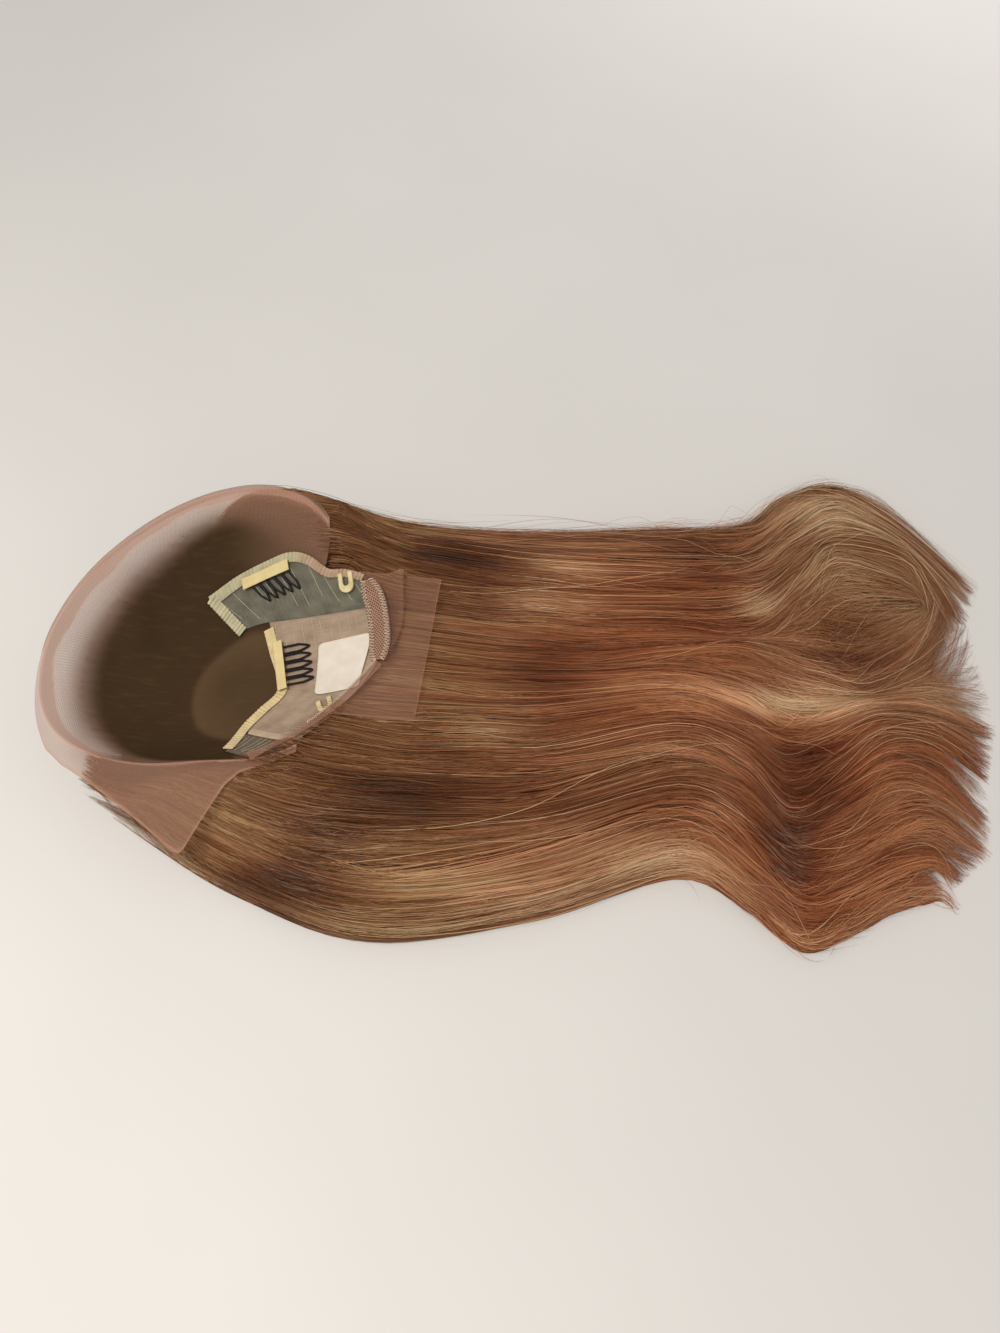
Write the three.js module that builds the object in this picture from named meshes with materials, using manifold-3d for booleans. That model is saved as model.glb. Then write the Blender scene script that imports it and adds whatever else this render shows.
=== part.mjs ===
// A lace front wig lying on a table with its cap open upwards, in millimetres, +Z up.
// The origin is on the table under the middle of the cap. +X runs from the forehead past the nape
// to the hair tips, and +Y from the near side of the cap to the far side.
import * as THREE from "three";
import { mergeVertices } from "three/addons/utils/BufferGeometryUtils.js";
import Module from "manifold-3d";

const wasm = await Module();
wasm.setup();

// Driving dimensions
const GAP = 0.4; // clear space between neighbouring pieces
const LACE_THICK = 1;
const PANEL_THICK = 1.2;
const PANEL_INSET = 2; // between a panel's outline and the lace round it
const TAPE_THICK = 0.9;
const TAPE_WIDTH = 6;
const BAND_THICK = 1.3;
const BAND_WIDTH = 12;
const LABEL_THICK = 1;
const LABEL_WIDTH = 26.5;
const LABEL_LENGTH = 36;
const LABEL_ROUND = 3;
const COMB_WIDTH = 28;
const COMB_TEETH = 5;
const TOOTH_LENGTH = 20;
const TOOTH_WIRE = 1.3;
const SPINE_WIRE = 1.5;
const SPINE_OVERHANG = 1; // past the outer teeth at each end
const COMB_TAPE_LENGTH = 32;
const COMB_TAPE_WIDTH = 7;
const HOOK_WIDTH = 9;
const HOOK_LENGTH = 12;
const HOOK_SLOT = 4;
const HOOK_BACK = 4; // solid plate behind the slot
const HOOK_THICK = 1.6;
const CROWN_HEIGHT = 20; // the cap's lowest point above the table, with the hair folded under it
const OPEN_ABOVE = 150; // cutting walls stand up to here, above everything
const TABLE_BLOCK = { side: 2000, deep: 100 }; // what is trimmed off below the table

// How finely the soft pieces are faceted
const PANEL_STEPS = 6;
const STRIP_STEPS = 2;
const OUTLINE_STEPS = 12;
const BAND_SPANS = 6;
const LABEL_STEPS = { along: 16, across: 4 };
const NAPE_LACE_STEPS = { along: 12, across: 9 };
const TOOTH_FACETS = { steps: 8, sides: 5 };
const SPINE_FACETS = { steps: 4, sides: 6 };
const MERGE_WITHIN = 1e-4;

// How far each layer inside the cap stands off the cap's middle surface
const PANEL_LOW = -0.3;
const TAPE_LOW = PANEL_LOW + PANEL_THICK + GAP;
const SPINE_LIFT = TAPE_LOW + TAPE_THICK + GAP + SPINE_WIRE / 2;
const TIP_LIFT = TAPE_LOW + TOOTH_WIRE / 2;
const COMB_TAPE_LOW = SPINE_LIFT + SPINE_WIRE / 2 + GAP;
const BAND_LOW = TAPE_LOW + LABEL_THICK + GAP;
const HOOK_ON_TAPE = TAPE_LOW + TAPE_THICK + GAP;
const HOOK_ON_PANEL = TAPE_LOW + GAP / 2;

// The cap's folded edge by direction, from the nape round by the far side: its distance from the middle,
// its height, the power by which the wall rises to it, and how far the spare lace turns out and drops.
const CAP_ROWS = [
  { angle: 0, reach: 102, height: 58, rise: 1.15, out: 3, drop: 2 },
  { angle: 30, reach: 92, height: 64, rise: 1.2, out: 4, drop: 4 },
  { angle: 60, reach: 95, height: 83, rise: 1.4, out: 12, drop: 18 },
  { angle: 90, reach: 84, height: 84, rise: 1.8, out: 15, drop: 24 },
  { angle: 120, reach: 79, height: 76, rise: 2.2, out: 14, drop: 24 },
  { angle: 150, reach: 84, height: 66, rise: 2.6, out: 12, drop: 22 },
  { angle: 180, reach: 94, height: 58, rise: 3, out: 9, drop: 20 },
  { angle: 210, reach: 103, height: 55, rise: 3, out: 8, drop: 19 },
  { angle: 240, reach: 100, height: 63, rise: 3, out: 16, drop: 26 },
  { angle: 270, reach: 92, height: 68, rise: 2.6, out: 34, drop: 36 },
  { angle: 300, reach: 91, height: 63, rise: 2, out: 9, drop: 9 },
  { angle: 330, reach: 89, height: 52, rise: 1.4, out: 3, drop: 2 },
];
const CAP_SPOKES = 48;
const WALL_RINGS = [0.16, 0.34, 0.5, 0.63, 0.75, 0.85, 0.93, 1];
const BRIM_RINGS = [0.12, 0.45, 1];
const FOLD_TOP = 0.25; // share of the spare lace that stays level over the fold

// Soft folds standing up in the lace: the middle of each in plan, its half lengths and its lift.
const LACE_FOLDS = [
  { x: 6, y: -22, halfX: 30, halfY: 36, lift: 7 },
  { x: 24, y: 72, halfX: 40, halfY: 17, lift: 4 },
  { x: -52, y: 24, halfX: 16, halfY: 34, lift: 3 },
];

// The wefted back of the cap, in plan: each panel lies between its seam edge and its far edge.
const PANELS = {
  back_panel_far: {
    seam: [[-8, 40], [8, 48], [27, 53], [46, 56], [64, 49], [74, 42]],
    edge: [[11, 22], [27, 21], [58, 14.5], [88, 8]],
  },
  back_panel_mid: {
    seam: [[27, 22.2], [31, 7], [40, -22], [28, -37], [22, -49]],
    edge: [[90, 8.8], [97, -5], [92, -20], [77, -40], [59, -63]],
  },
  back_panel_near: {
    seam: [[20, -51], [16, -62], [14, -73]],
    edge: [[55, -66], [44, -73], [30, -78]],
  },
};
// Plan outlines trimmed off the lace: the nape, and beyond the straight cut of its near flap
const NAPE_CUT = [[60, 10], [73, 39], [76, 46], [116, 70], [150, 0], [100, -112], [55, -67], [50, -40]];
const FLAP_CUT = [[-9, -127], [18, -98], [26, -92], [40, -86], [54, -77], [100, -112], [0, -170]];

// Tapes and bands by their middle lines in plan
const FAR_TAPE = [[73, 42], [64, 48], [46, 56], [27, 53], [8, 48], [-8, 40], [1, 31], [11, 21]];
const NEAR_TAPE = [[27, 20], [31, 7], [39, -21], [28, -37], [20, -50], [15, -72]];
const SEAM_STRIP = [[25, -50], [38, -57], [51, -64]];
const SEAM_STRIP_WIDTH = 5;
const NAPE_BAND_FROM = 20; // directions in degrees
const NAPE_BAND_TO = -13;

const COMBS = {
  far: { middle: [26.2, 46.8], spine: [23, 4.6], tooth: [11.5, -12.2] },
  mid: { middle: [37.2, -7], spine: [5, -28], tooth: [18.5, 0.6] },
};
const LABEL_MIDDLE = [72.8, -14];
const HOOKS = {
  far: { middle: [75.5, 36.8], heading: 5, low: HOOK_ON_TAPE },
  near: { middle: [67, -42.5], heading: 20, low: HOOK_ON_PANEL },
};

// The lace that turns out over the nape and lies on the hair
const NAPE_LACE_SEAM = 0.4; // its edge is sewn this far inside the cap's edge
const NAPE_LACE_FROM = 27;
const NAPE_LACE_TO = -43;
const NAPE_LACE_CORNERS = { far: [130, 44, 52], near: [117, -51, 48] };
const NAPE_LACE_FOLD = { place: 0.42, spread: 0.14, lift: 5 };

// The hair: x of each station along it, and the height of the mass there
const STATIONS = [
  { name: "front", x: -72, height: 26 },
  { name: "cap", x: 10, height: 46 },
  { name: "nape", x: 90, height: 51 },
  { name: "mid", x: 180, height: 38 },
  { name: "bend", x: 265, height: 30 },
  { name: "curl", x: 330, height: 26 },
  { name: "crest", x: 390, height: 19 },
  { name: "tip", x: 450, height: 6 },
];
// Each lock's y at the stations, how far it starts before the front station and ends past the tip station,
// its half width, and its share of the mass's height.
const LOCK_COLUMNS = [...STATIONS.map((station) => station.name), "lead", "past", "half", "tall"];
const LOCKS = [
  [-66, -114, -143, -132, -106, -147, -122, -122, 16, -30, 19, 0.5],
  [-58, -101, -120, -112, -87, -126, -104, -108, 8, -12, 20, 0.86],
  [-46, -84, -95, -90, -66, -102, -76, -88, 0, -6, 21, 1.12],
  [-34, -56, -69, -66, -46, -76, -52, -66, 0, -2, 20, 0.96],
  [-20, -30, -42, -42, -27, -48, -34, -42, 0, 4, 21, 1.06],
  [-6, -5, -16, -18, -9, -20, -14, -14, 0, 10, 19, 0.94],
  [8, 20, 10, 6, 10, 4, 2, 26, 0, 4, 20, 1.05],
  [22, 45, 36, 30, 30, 34, 40, 44, 0, 8, 20, 0.93],
  [34, 66, 60, 53, 52, 63, 76, 54, 0, 16, 20, 1.08],
  [44, 84, 80, 75, 75, 90, 106, 68, 0, 14, 20, 0.98],
  [52, 94, 96, 94, 98, 118, 133, 84, 0, 6, 18, 0.7],
].map((row) => Object.fromEntries(LOCK_COLUMNS.map((column, i) => [column, row[i]])));
const LOCK_STEPS = 26;
const LOCK_SIDES = 6; // flats over a lock's arch
const LOCK_FOOT = 4; // locks are swept this far below the table, then trimmed level with it
// The share of its size that a lock keeps at an end, and the share of its length that it takes to fill out
const LOCK_FRONT = { keeps: 0.3, span: 0.13 };
const LOCK_TIP = { keeps: 0.5, span: 0.14 };

const COLOURS = {
  hair: new THREE.MeshStandardMaterial({ color: 0x8f6a4c, roughness: 0.45, metalness: 0 }),
  lace: new THREE.MeshStandardMaterial({ color: 0xb08d78, roughness: 0.9, metalness: 0 }),
  weft: new THREE.MeshStandardMaterial({ color: 0x7d7564, roughness: 0.85, metalness: 0 }),
  tape: new THREE.MeshStandardMaterial({ color: 0xcfc79a, roughness: 0.8, metalness: 0 }),
  combTape: new THREE.MeshStandardMaterial({ color: 0xe3d48e, roughness: 0.55, metalness: 0 }),
  comb: new THREE.MeshStandardMaterial({ color: 0x17130f, roughness: 0.35, metalness: 0.3 }),
  band: new THREE.MeshStandardMaterial({ color: 0x9c7867, roughness: 0.9, metalness: 0 }),
  hook: new THREE.MeshStandardMaterial({ color: 0xe0d3a0, roughness: 0.4, metalness: 0 }),
  label: new THREE.MeshStandardMaterial({ color: 0xf2ede6, roughness: 0.5, metalness: 0 }),
};

const radians = THREE.MathUtils.degToRad;
const lerp = THREE.MathUtils.lerp;

function smooth(t) {
  return THREE.MathUtils.smoothstep(t, 0, 1);
}

// Catmull-Rom value between b and c
function between(a, b, c, d, t) {
  return b + 0.5 * t * (c - a + t * (2 * a - 5 * b + 4 * c - d + t * (3 * (b - c) + d - a)));
}

// A column of CAP_ROWS at any direction in degrees
function capValue(column, angle) {
  const count = CAP_ROWS.length;
  const place = (THREE.MathUtils.euclideanModulo(angle, 360) * count) / 360;
  const row = Math.floor(place);
  const at = (k) => CAP_ROWS[(row + k + count) % count][column];
  return between(at(-1), at(0), at(1), at(2), place - row);
}

// Height of the lace's middle surface over a plan point: the cap's wall, then the spare lace outside its fold
function capHeight(x, y) {
  const angle = THREE.MathUtils.radToDeg(Math.atan2(y, x));
  const distance = Math.hypot(x, y);
  const reach = capValue("reach", angle);
  const top = capValue("height", angle);
  if (distance > reach) {
    const t = (distance - reach) / capValue("out", angle);
    return top - capValue("drop", angle) * (t <= FOLD_TOP ? t * t : t - FOLD_TOP * (1 - FOLD_TOP));
  }
  const wall = CROWN_HEIGHT + (top - CROWN_HEIGHT) * (distance / reach) ** capValue("rise", angle);
  const lift = LACE_FOLDS.reduce((sum, fold) => {
    const off = Math.hypot((x - fold.x) / fold.halfX, (y - fold.y) / fold.halfY);
    return sum + fold.lift * (1 - smooth(off));
  }, 0);
  return wall + lift;
}

// The point that stands off the cap's middle surface by a lift, square to it
function onCap(x, y, lift) {
  const step = 0.5;
  const normal = new THREE.Vector3(
    (capHeight(x - step, y) - capHeight(x + step, y)) / (2 * step),
    (capHeight(x, y - step) - capHeight(x, y + step)) / (2 * step),
    1,
  ).normalize();
  return new THREE.Vector3(x, y, capHeight(x, y)).addScaledVector(normal, lift);
}

function geometryOf(points, faces) {
  const geometry = new THREE.BufferGeometry();
  geometry.setAttribute("position", new THREE.Float32BufferAttribute(points.flatMap((p) => p.toArray()), 3));
  geometry.setIndex(faces.flat());
  return geometry;
}

function solidOf(geometry) {
  const bare = new THREE.BufferGeometry().setAttribute("position", geometry.getAttribute("position"));
  const merged = mergeVertices(geometry.index ? bare.setIndex(geometry.index) : bare, MERGE_WITHIN);
  return new wasm.Manifold(
    new wasm.Mesh({
      numProp: 3,
      vertProperties: merged.attributes.position.array,
      triVerts: new Uint32Array(merged.index.array),
    }),
  );
}

function geometryFromSolid(solid) {
  const mesh = solid.getMesh();
  const geometry = new THREE.BufferGeometry();
  geometry.setAttribute("position", new THREE.BufferAttribute(mesh.vertProperties, 3));
  geometry.setIndex(new THREE.BufferAttribute(mesh.triVerts, 1));
  return geometry;
}

// A closed sheet between two surfaces over a grid: lowAt and highAt give a point for u and v from 0 to 1.
function sheet(lowAt, highAt, uSteps, vSteps) {
  const points = [];
  const faces = [];
  const columns = vSteps + 1;
  for (const at of [lowAt, highAt])
    for (let i = 0; i <= uSteps; i++)
      for (let j = 0; j <= vSteps; j++) points.push(at(i / uSteps, j / vSteps));
  const high = (uSteps + 1) * columns;
  const quad = (a, b, c, d) => faces.push([a, b, c], [a, c, d]);
  for (let i = 0; i < uSteps; i++)
    for (let j = 0; j < vSteps; j++) {
      const k = i * columns + j;
      quad(k, k + 1, k + columns + 1, k + columns);
      quad(high + k, high + k + columns, high + k + columns + 1, high + k + 1);
    }
  for (let i = 0; i < uSteps; i++)
    for (const [j, turn] of [[0, false], [vSteps, true]]) {
      const a = i * columns + j;
      const b = a + columns;
      if (turn) quad(a, high + a, high + b, b);
      else quad(a, b, high + b, high + a);
    }
  for (let j = 0; j < vSteps; j++)
    for (const [i, turn] of [[0, true], [uSteps, false]]) {
      const a = i * columns + j;
      const b = a + 1;
      if (turn) quad(a, high + a, high + b, b);
      else quad(a, b, high + b, high + a);
    }
  return facingOut(geometryOf(points, faces));
}

// Turns the faces round where the grid ran the other way
function facingOut(geometry) {
  const p = geometry.getAttribute("position");
  const index = geometry.index.array;
  const [a, b, c] = [new THREE.Vector3(), new THREE.Vector3(), new THREE.Vector3()];
  let volume = 0;
  for (let i = 0; i < index.length; i += 3) {
    a.fromBufferAttribute(p, index[i]);
    b.fromBufferAttribute(p, index[i + 1]);
    c.fromBufferAttribute(p, index[i + 2]);
    volume += a.dot(b.cross(c));
  }
  if (volume < 0)
    for (let i = 0; i < index.length; i += 3) [index[i + 1], index[i + 2]] = [index[i + 2], index[i + 1]];
  return geometry;
}

// The round cap wall with its spare lace, between two surfaces given over the plan
function capShell(lowAt, highAt, brimShare) {
  const rings = [...WALL_RINGS, ...BRIM_RINGS.map((t) => 1 + t * brimShare)];
  const points = [];
  const faces = [];
  const planAt = (ring, spoke) => {
    const angle = (360 * spoke) / CAP_SPOKES;
    const reach = capValue("reach", angle);
    const distance = ring <= 1 ? ring * reach : reach + (ring - 1) * capValue("out", angle);
    return [distance * Math.cos(radians(angle)), distance * Math.sin(radians(angle))];
  };
  for (const at of [lowAt, highAt]) {
    points.push(at(0, 0));
    for (const ring of rings)
      for (let spoke = 0; spoke < CAP_SPOKES; spoke++) points.push(at(...planAt(ring, spoke)));
  }
  const high = 1 + rings.length * CAP_SPOKES;
  const place = (ring, spoke) => 1 + ring * CAP_SPOKES + (spoke % CAP_SPOKES);
  for (let spoke = 0; spoke < CAP_SPOKES; spoke++) {
    faces.push([0, place(0, spoke + 1), place(0, spoke)]);
    faces.push([high, high + place(0, spoke), high + place(0, spoke + 1)]);
    for (let ring = 0; ring + 1 < rings.length; ring++) {
      const [a, b] = [place(ring, spoke), place(ring, spoke + 1)];
      const [c, d] = [place(ring + 1, spoke + 1), place(ring + 1, spoke)];
      faces.push([a, b, c], [a, c, d]);
      faces.push([high + a, high + c, high + b], [high + a, high + d, high + c]);
    }
    const [a, b] = [place(rings.length - 1, spoke), place(rings.length - 1, spoke + 1)];
    faces.push([a, b, high + b], [a, high + b, high + a]);
  }
  return facingOut(geometryOf(points, faces));
}

// A wall that stands over a plan outline, used to cut what lies in it
function planPrism(outline) {
  const shape = new THREE.Shape(outline.map(([x, y]) => new THREE.Vector2(x, y)));
  return solidOf(new THREE.ExtrudeGeometry(shape, { depth: OPEN_ABOVE, bevelEnabled: false }));
}

function splineOf(points) {
  return new THREE.SplineCurve(points.map(([x, y]) => new THREE.Vector2(x, y)));
}

// Plan point inside a panel: u runs along its edges and v from its seam to its far edge
function panelPlan(panel, u, v) {
  return panel.seamCurve.getPoint(u).lerp(panel.edgeCurve.getPoint(u), v);
}

function withCurves(panel) {
  return { ...panel, seamCurve: splineOf(panel.seam), edgeCurve: splineOf(panel.edge) };
}

function panelOutline(panel) {
  const along = [...Array(OUTLINE_STEPS + 1).keys()].map((i) => i / OUTLINE_STEPS);
  const seam = along.map((u) => panel.seamCurve.getPoint(u).toArray());
  const edge = along.map((u) => panel.edgeCurve.getPoint(u).toArray());
  return [...seam, ...edge.reverse()];
}

function backPanel(panel) {
  const span = panelPlan(panel, 0.5, 0).distanceTo(panelPlan(panel, 0.5, 1));
  const [uInset, vInset] = [PANEL_INSET / panel.seamCurve.getLength(), PANEL_INSET / span];
  const at = (lift) => (u, v) => {
    const p = panelPlan(panel, lerp(uInset, 1 - uInset, u), lerp(vInset, 1 - vInset, v));
    return onCap(p.x, p.y, lift);
  };
  return sheet(at(PANEL_LOW), at(PANEL_LOW + PANEL_THICK), 2 * panel.seam.length, PANEL_STEPS);
}

// A strip of cloth on the cap along a plan line, mitred where the line turns
function strip(line, width, low, thick) {
  const points = line.map(([x, y]) => new THREE.Vector2(x, y));
  const sides = points.map((p, i) => {
    const before = i > 0 ? p.clone().sub(points[i - 1]).normalize() : null;
    const after = i + 1 < points.length ? points[i + 1].clone().sub(p).normalize() : null;
    const along = (before ?? after).clone().add(after ?? before).normalize();
    const mitre = before && after ? Math.sqrt((1 + before.dot(after)) / 2) : 1;
    return new THREE.Vector2(-along.y, along.x).multiplyScalar(width / 2 / mitre);
  });
  const spans = points.length - 1;
  const at = (lift) => (u, v) => {
    const place = Math.min(u * spans, spans - 1e-9);
    const i = Math.floor(place);
    const middle = points[i].clone().lerp(points[i + 1], place - i);
    const side = sides[i].clone().lerp(sides[i + 1], place - i);
    middle.addScaledVector(side, 2 * v - 1);
    return onCap(middle.x, middle.y, lift);
  };
  return sheet(at(low), at(low + thick), spans * STRIP_STEPS, STRIP_STEPS);
}

// The nape band's middle line, half its width inside the cap's edge
function napeBandLine() {
  return [...Array(BAND_SPANS + 1).keys()].map((i) => {
    const angle = lerp(NAPE_BAND_FROM, NAPE_BAND_TO, i / BAND_SPANS);
    const distance = capValue("reach", angle) - BAND_WIDTH / 2 - GAP;
    return [distance * Math.cos(radians(angle)), distance * Math.sin(radians(angle))];
  });
}

function tubeAlong(points, wire, { steps, sides }) {
  const ring = [...Array(sides).keys()].map((k) => {
    const turn = (2 * Math.PI * k) / sides;
    return new THREE.Vector2((Math.cos(turn) * wire) / 2, (Math.sin(turn) * wire) / 2);
  });
  const options = { steps, extrudePath: new THREE.CatmullRomCurve3(points), bevelEnabled: false };
  return solidOf(new THREE.ExtrudeGeometry(new THREE.Shape(ring), options));
}

// A wire comb: a straight spine, and teeth that are loops of wire drawn in to a point
function wireComb(comb) {
  const spineWay = new THREE.Vector2(...comb.spine).normalize();
  const toothWay = new THREE.Vector2(...comb.tooth).normalize();
  const flat = Math.hypot(...comb.spine) / COMB_WIDTH;
  const reach = Math.hypot(...comb.tooth) / TOOTH_LENGTH;
  const at = (along, out) => {
    const p = new THREE.Vector2(...comb.middle)
      .addScaledVector(spineWay, along * flat)
      .addScaledVector(toothWay, out * reach);
    return onCap(p.x, p.y, lerp(SPINE_LIFT, TIP_LIFT, Math.min(out / TOOTH_LENGTH, 1)));
  };
  const half = COMB_WIDTH / 2;
  const pitch = COMB_WIDTH / COMB_TEETH;
  const leg = TOOTH_WIRE * 0.42; // neighbouring loops lie side by side
  const bend = TOOTH_LENGTH * 0.66; // where a loop's legs begin to draw in
  const neck = { out: TOOTH_LENGTH * 0.93, half: TOOTH_WIRE * 0.8 };
  const end = half + SPINE_OVERHANG;
  const spine = [-end, -end / 2, 0, end / 2, end].map((along) => at(along, 0));
  let solid = tubeAlong(spine, SPINE_WIRE, SPINE_FACETS);
  for (let k = 0; k < COMB_TEETH; k++) {
    const left = -half + k * pitch + leg;
    const right = left + pitch - 2 * leg;
    const tip = (left + right) / 2;
    const path = [
      [left, 0],
      [left, bend],
      [tip - neck.half, neck.out],
      [tip, TOOTH_LENGTH],
      [tip + neck.half, neck.out],
      [right, bend],
      [right, 0],
    ];
    solid = solid.add(tubeAlong(path.map(([along, out]) => at(along, out)), TOOTH_WIRE, TOOTH_FACETS));
  }
  return geometryFromSolid(solid);
}

function combTape(comb) {
  const spineWay = new THREE.Vector2(...comb.spine).multiplyScalar(COMB_TAPE_LENGTH / COMB_WIDTH / 2);
  const middle = new THREE.Vector2(...comb.middle);
  const line = [-1, -0.5, 0, 0.5, 1].map((t) => middle.clone().addScaledVector(spineWay, t).toArray());
  return strip(line, COMB_TAPE_WIDTH, COMB_TAPE_LOW, TAPE_THICK);
}

// The blank square label, its corners rounded in plan
function labelSheet() {
  const [x, y] = LABEL_MIDDLE;
  const at = (lift) => (u, v) => {
    const across = (2 * u - 1) * (LABEL_LENGTH / 2);
    const intoCorner = Math.max(LABEL_ROUND - (LABEL_LENGTH / 2 - Math.abs(across)), 0);
    const cut = LABEL_ROUND - Math.sqrt(LABEL_ROUND ** 2 - intoCorner ** 2);
    return onCap(x + (2 * v - 1) * (LABEL_WIDTH / 2 - cut), y + across, lift);
  };
  return sheet(at(TAPE_LOW), at(TAPE_LOW + LABEL_THICK), LABEL_STEPS.along, LABEL_STEPS.across);
}

// A flat plastic strap hook about its own middle, a plate with a slot open at its front end
function strapHook() {
  const half = HOOK_WIDTH / 2;
  const slot = HOOK_SLOT / 2;
  const shape = new THREE.Shape();
  shape.moveTo(-half, half);
  shape.absarc(0, half, half, Math.PI, 2 * Math.PI, false);
  shape.lineTo(half, HOOK_LENGTH);
  shape.lineTo(slot, HOOK_LENGTH);
  shape.lineTo(slot, HOOK_BACK + slot);
  shape.absarc(0, HOOK_BACK + slot, slot, 0, -Math.PI, true);
  shape.lineTo(-slot, HOOK_LENGTH);
  shape.lineTo(-half, HOOK_LENGTH);
  const options = { depth: HOOK_THICK, bevelEnabled: false, curveSegments: 8 };
  const geometry = new THREE.ExtrudeGeometry(shape, options);
  return geometryFromSolid(solidOf(geometry.translate(0, -HOOK_LENGTH / 2, 0)));
}

// The lace over the nape, from the cap's edge to a straight cut on the hair, with one standing fold
function napeLacePoint(u, v) {
  const angle = lerp(NAPE_LACE_FROM, NAPE_LACE_TO, u);
  const seam = capValue("reach", angle) - NAPE_LACE_SEAM;
  const turn = radians(angle);
  const inner = onCap(seam * Math.cos(turn), seam * Math.sin(turn), TAPE_LOW + LACE_THICK / 2);
  const { far, near } = NAPE_LACE_CORNERS;
  const outer = new THREE.Vector3(...far).lerp(new THREE.Vector3(...near), u);
  const fold = NAPE_LACE_FOLD;
  const p = inner.lerp(outer, v);
  p.z += fold.lift * Math.sin(Math.PI * u) * Math.exp(-(((v - fold.place) / fold.spread) ** 2));
  return p;
}

function napeLaceSheet(low, high) {
  const at = (lift) => (u, v) => napeLacePoint(u, v).add(new THREE.Vector3(0, 0, lift));
  return sheet(at(low), at(high), NAPE_LACE_STEPS.along, NAPE_LACE_STEPS.across);
}

// A lock's middle line in plan, its height and its half width at a share t of its length
function lockAt(lock, t) {
  const last = STATIONS.length - 1;
  const place = Math.min(t * last, last - 1e-9);
  const i = Math.floor(place);
  const at = (value) => {
    const clamped = (k) => value(STATIONS[THREE.MathUtils.clamp(i + k, 0, last)]);
    return between(clamped(-1), clamped(0), clamped(1), clamped(2), place - i);
  };
  const shift = { front: -lock.lead, tip: lock.past };
  const front = lerp(LOCK_FRONT.keeps, 1, smooth(t / LOCK_FRONT.span));
  const tip = lerp(LOCK_TIP.keeps, 1, smooth((1 - t) / LOCK_TIP.span));
  return {
    x: at((station) => station.x + (shift[station.name] ?? 0)),
    y: at((station) => lock[station.name]),
    height: at((station) => station.height) * lock.tall * front,
    half: lock.half * Math.min(front, tip),
  };
}

// One lock of hair: an arch swept along its path, standing on the table
function lockSolid(lock) {
  const nudge = 0.01; // share of the length over which its heading is taken
  const rings = [];
  for (let step = 0; step <= LOCK_STEPS; step++) {
    const t = step / LOCK_STEPS;
    const { x, y, height, half } = lockAt(lock, t);
    const before = lockAt(lock, Math.max(t - nudge, 0));
    const after = lockAt(lock, Math.min(t + nudge, 1));
    const along = new THREE.Vector2(after.x - before.x, after.y - before.y).normalize();
    const ring = [];
    for (let side = 0; side <= LOCK_SIDES; side++) {
      const turn = (Math.PI * side) / LOCK_SIDES;
      const across = half * Math.cos(turn);
      ring.push(new THREE.Vector3(x - along.y * across, y + along.x * across, height * Math.sin(turn)));
    }
    for (const across of [-half, half])
      ring.push(new THREE.Vector3(x - along.y * across, y + along.x * across, -LOCK_FOOT));
    rings.push(ring);
  }
  const count = rings[0].length;
  const points = rings.flat();
  const faces = [];
  for (let step = 0; step < LOCK_STEPS; step++)
    for (let k = 0; k < count; k++) {
      const a = step * count + k;
      const b = step * count + ((k + 1) % count);
      faces.push([a, b, b + count], [a, b + count, a + count]);
    }
  const end = LOCK_STEPS * count;
  for (let k = 1; k + 1 < count; k++) {
    faces.push([0, k + 1, k]);
    faces.push([end, end + k, end + k + 1]);
  }
  return solidOf(facingOut(geometryOf(points, faces)));
}

// All the hair, its locks fused together, trimmed level with the table and clear of the lace that lies on it
function hairSolid() {
  const locks = LOCKS.map(lockSolid);
  const mass = locks.reduce((sum, lock) => sum.add(lock));
  const { side, deep } = TABLE_BLOCK;
  const below = solidOf(new THREE.BoxGeometry(side, side, deep).translate(0, 0, -deep / 2));
  const under = LACE_THICK / 2 + GAP;
  const inCap = solidOf(
    capShell((x, y) => onCap(x, y, -under), (x, y) => new THREE.Vector3(x, y, OPEN_ABOVE), 1 + GAP / 4),
  );
  const besideFlap = planPrism(FLAP_CUT.map(([x, y]) => [x + 2 * GAP, y - 2 * GAP]));
  const overNape = solidOf(napeLaceSheet(-under, OPEN_ABOVE));
  return geometryFromSolid(mass.subtract(below).subtract(inCap.subtract(besideFlap)).subtract(overNape));
}

const panels = Object.fromEntries(Object.entries(PANELS).map(([name, panel]) => [name, withCurves(panel)]));

// The lace cap, open where the wefted panels are sewn in and at the nape
function laceCap() {
  const half = LACE_THICK / 2;
  let lace = solidOf(capShell((x, y) => onCap(x, y, -half), (x, y) => onCap(x, y, half), 1));
  for (const panel of Object.values(panels)) lace = lace.subtract(planPrism(panelOutline(panel)));
  for (const outline of [NAPE_CUT, FLAP_CUT]) lace = lace.subtract(planPrism(outline));
  return geometryFromSolid(lace);
}

const wig = new THREE.Group();
const cap = new THREE.Group();
wig.add(cap);

function addPiece(parent, name, geometry, material) {
  const mesh = new THREE.Mesh(geometry, material);
  mesh.name = name;
  parent.add(mesh);
  return mesh;
}

// Sets a hook down on the cap, its plate square to the surface and its slot turned to its heading
function placeHook(mesh, { middle, heading, low }) {
  const up = new THREE.Vector3(0, 0, 1);
  const foot = onCap(...middle, low);
  const normal = onCap(...middle, low + 1).sub(foot);
  mesh.position.copy(foot);
  mesh.quaternion.setFromUnitVectors(up, normal);
  mesh.quaternion.multiply(new THREE.Quaternion().setFromAxisAngle(up, radians(heading)));
}

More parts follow.
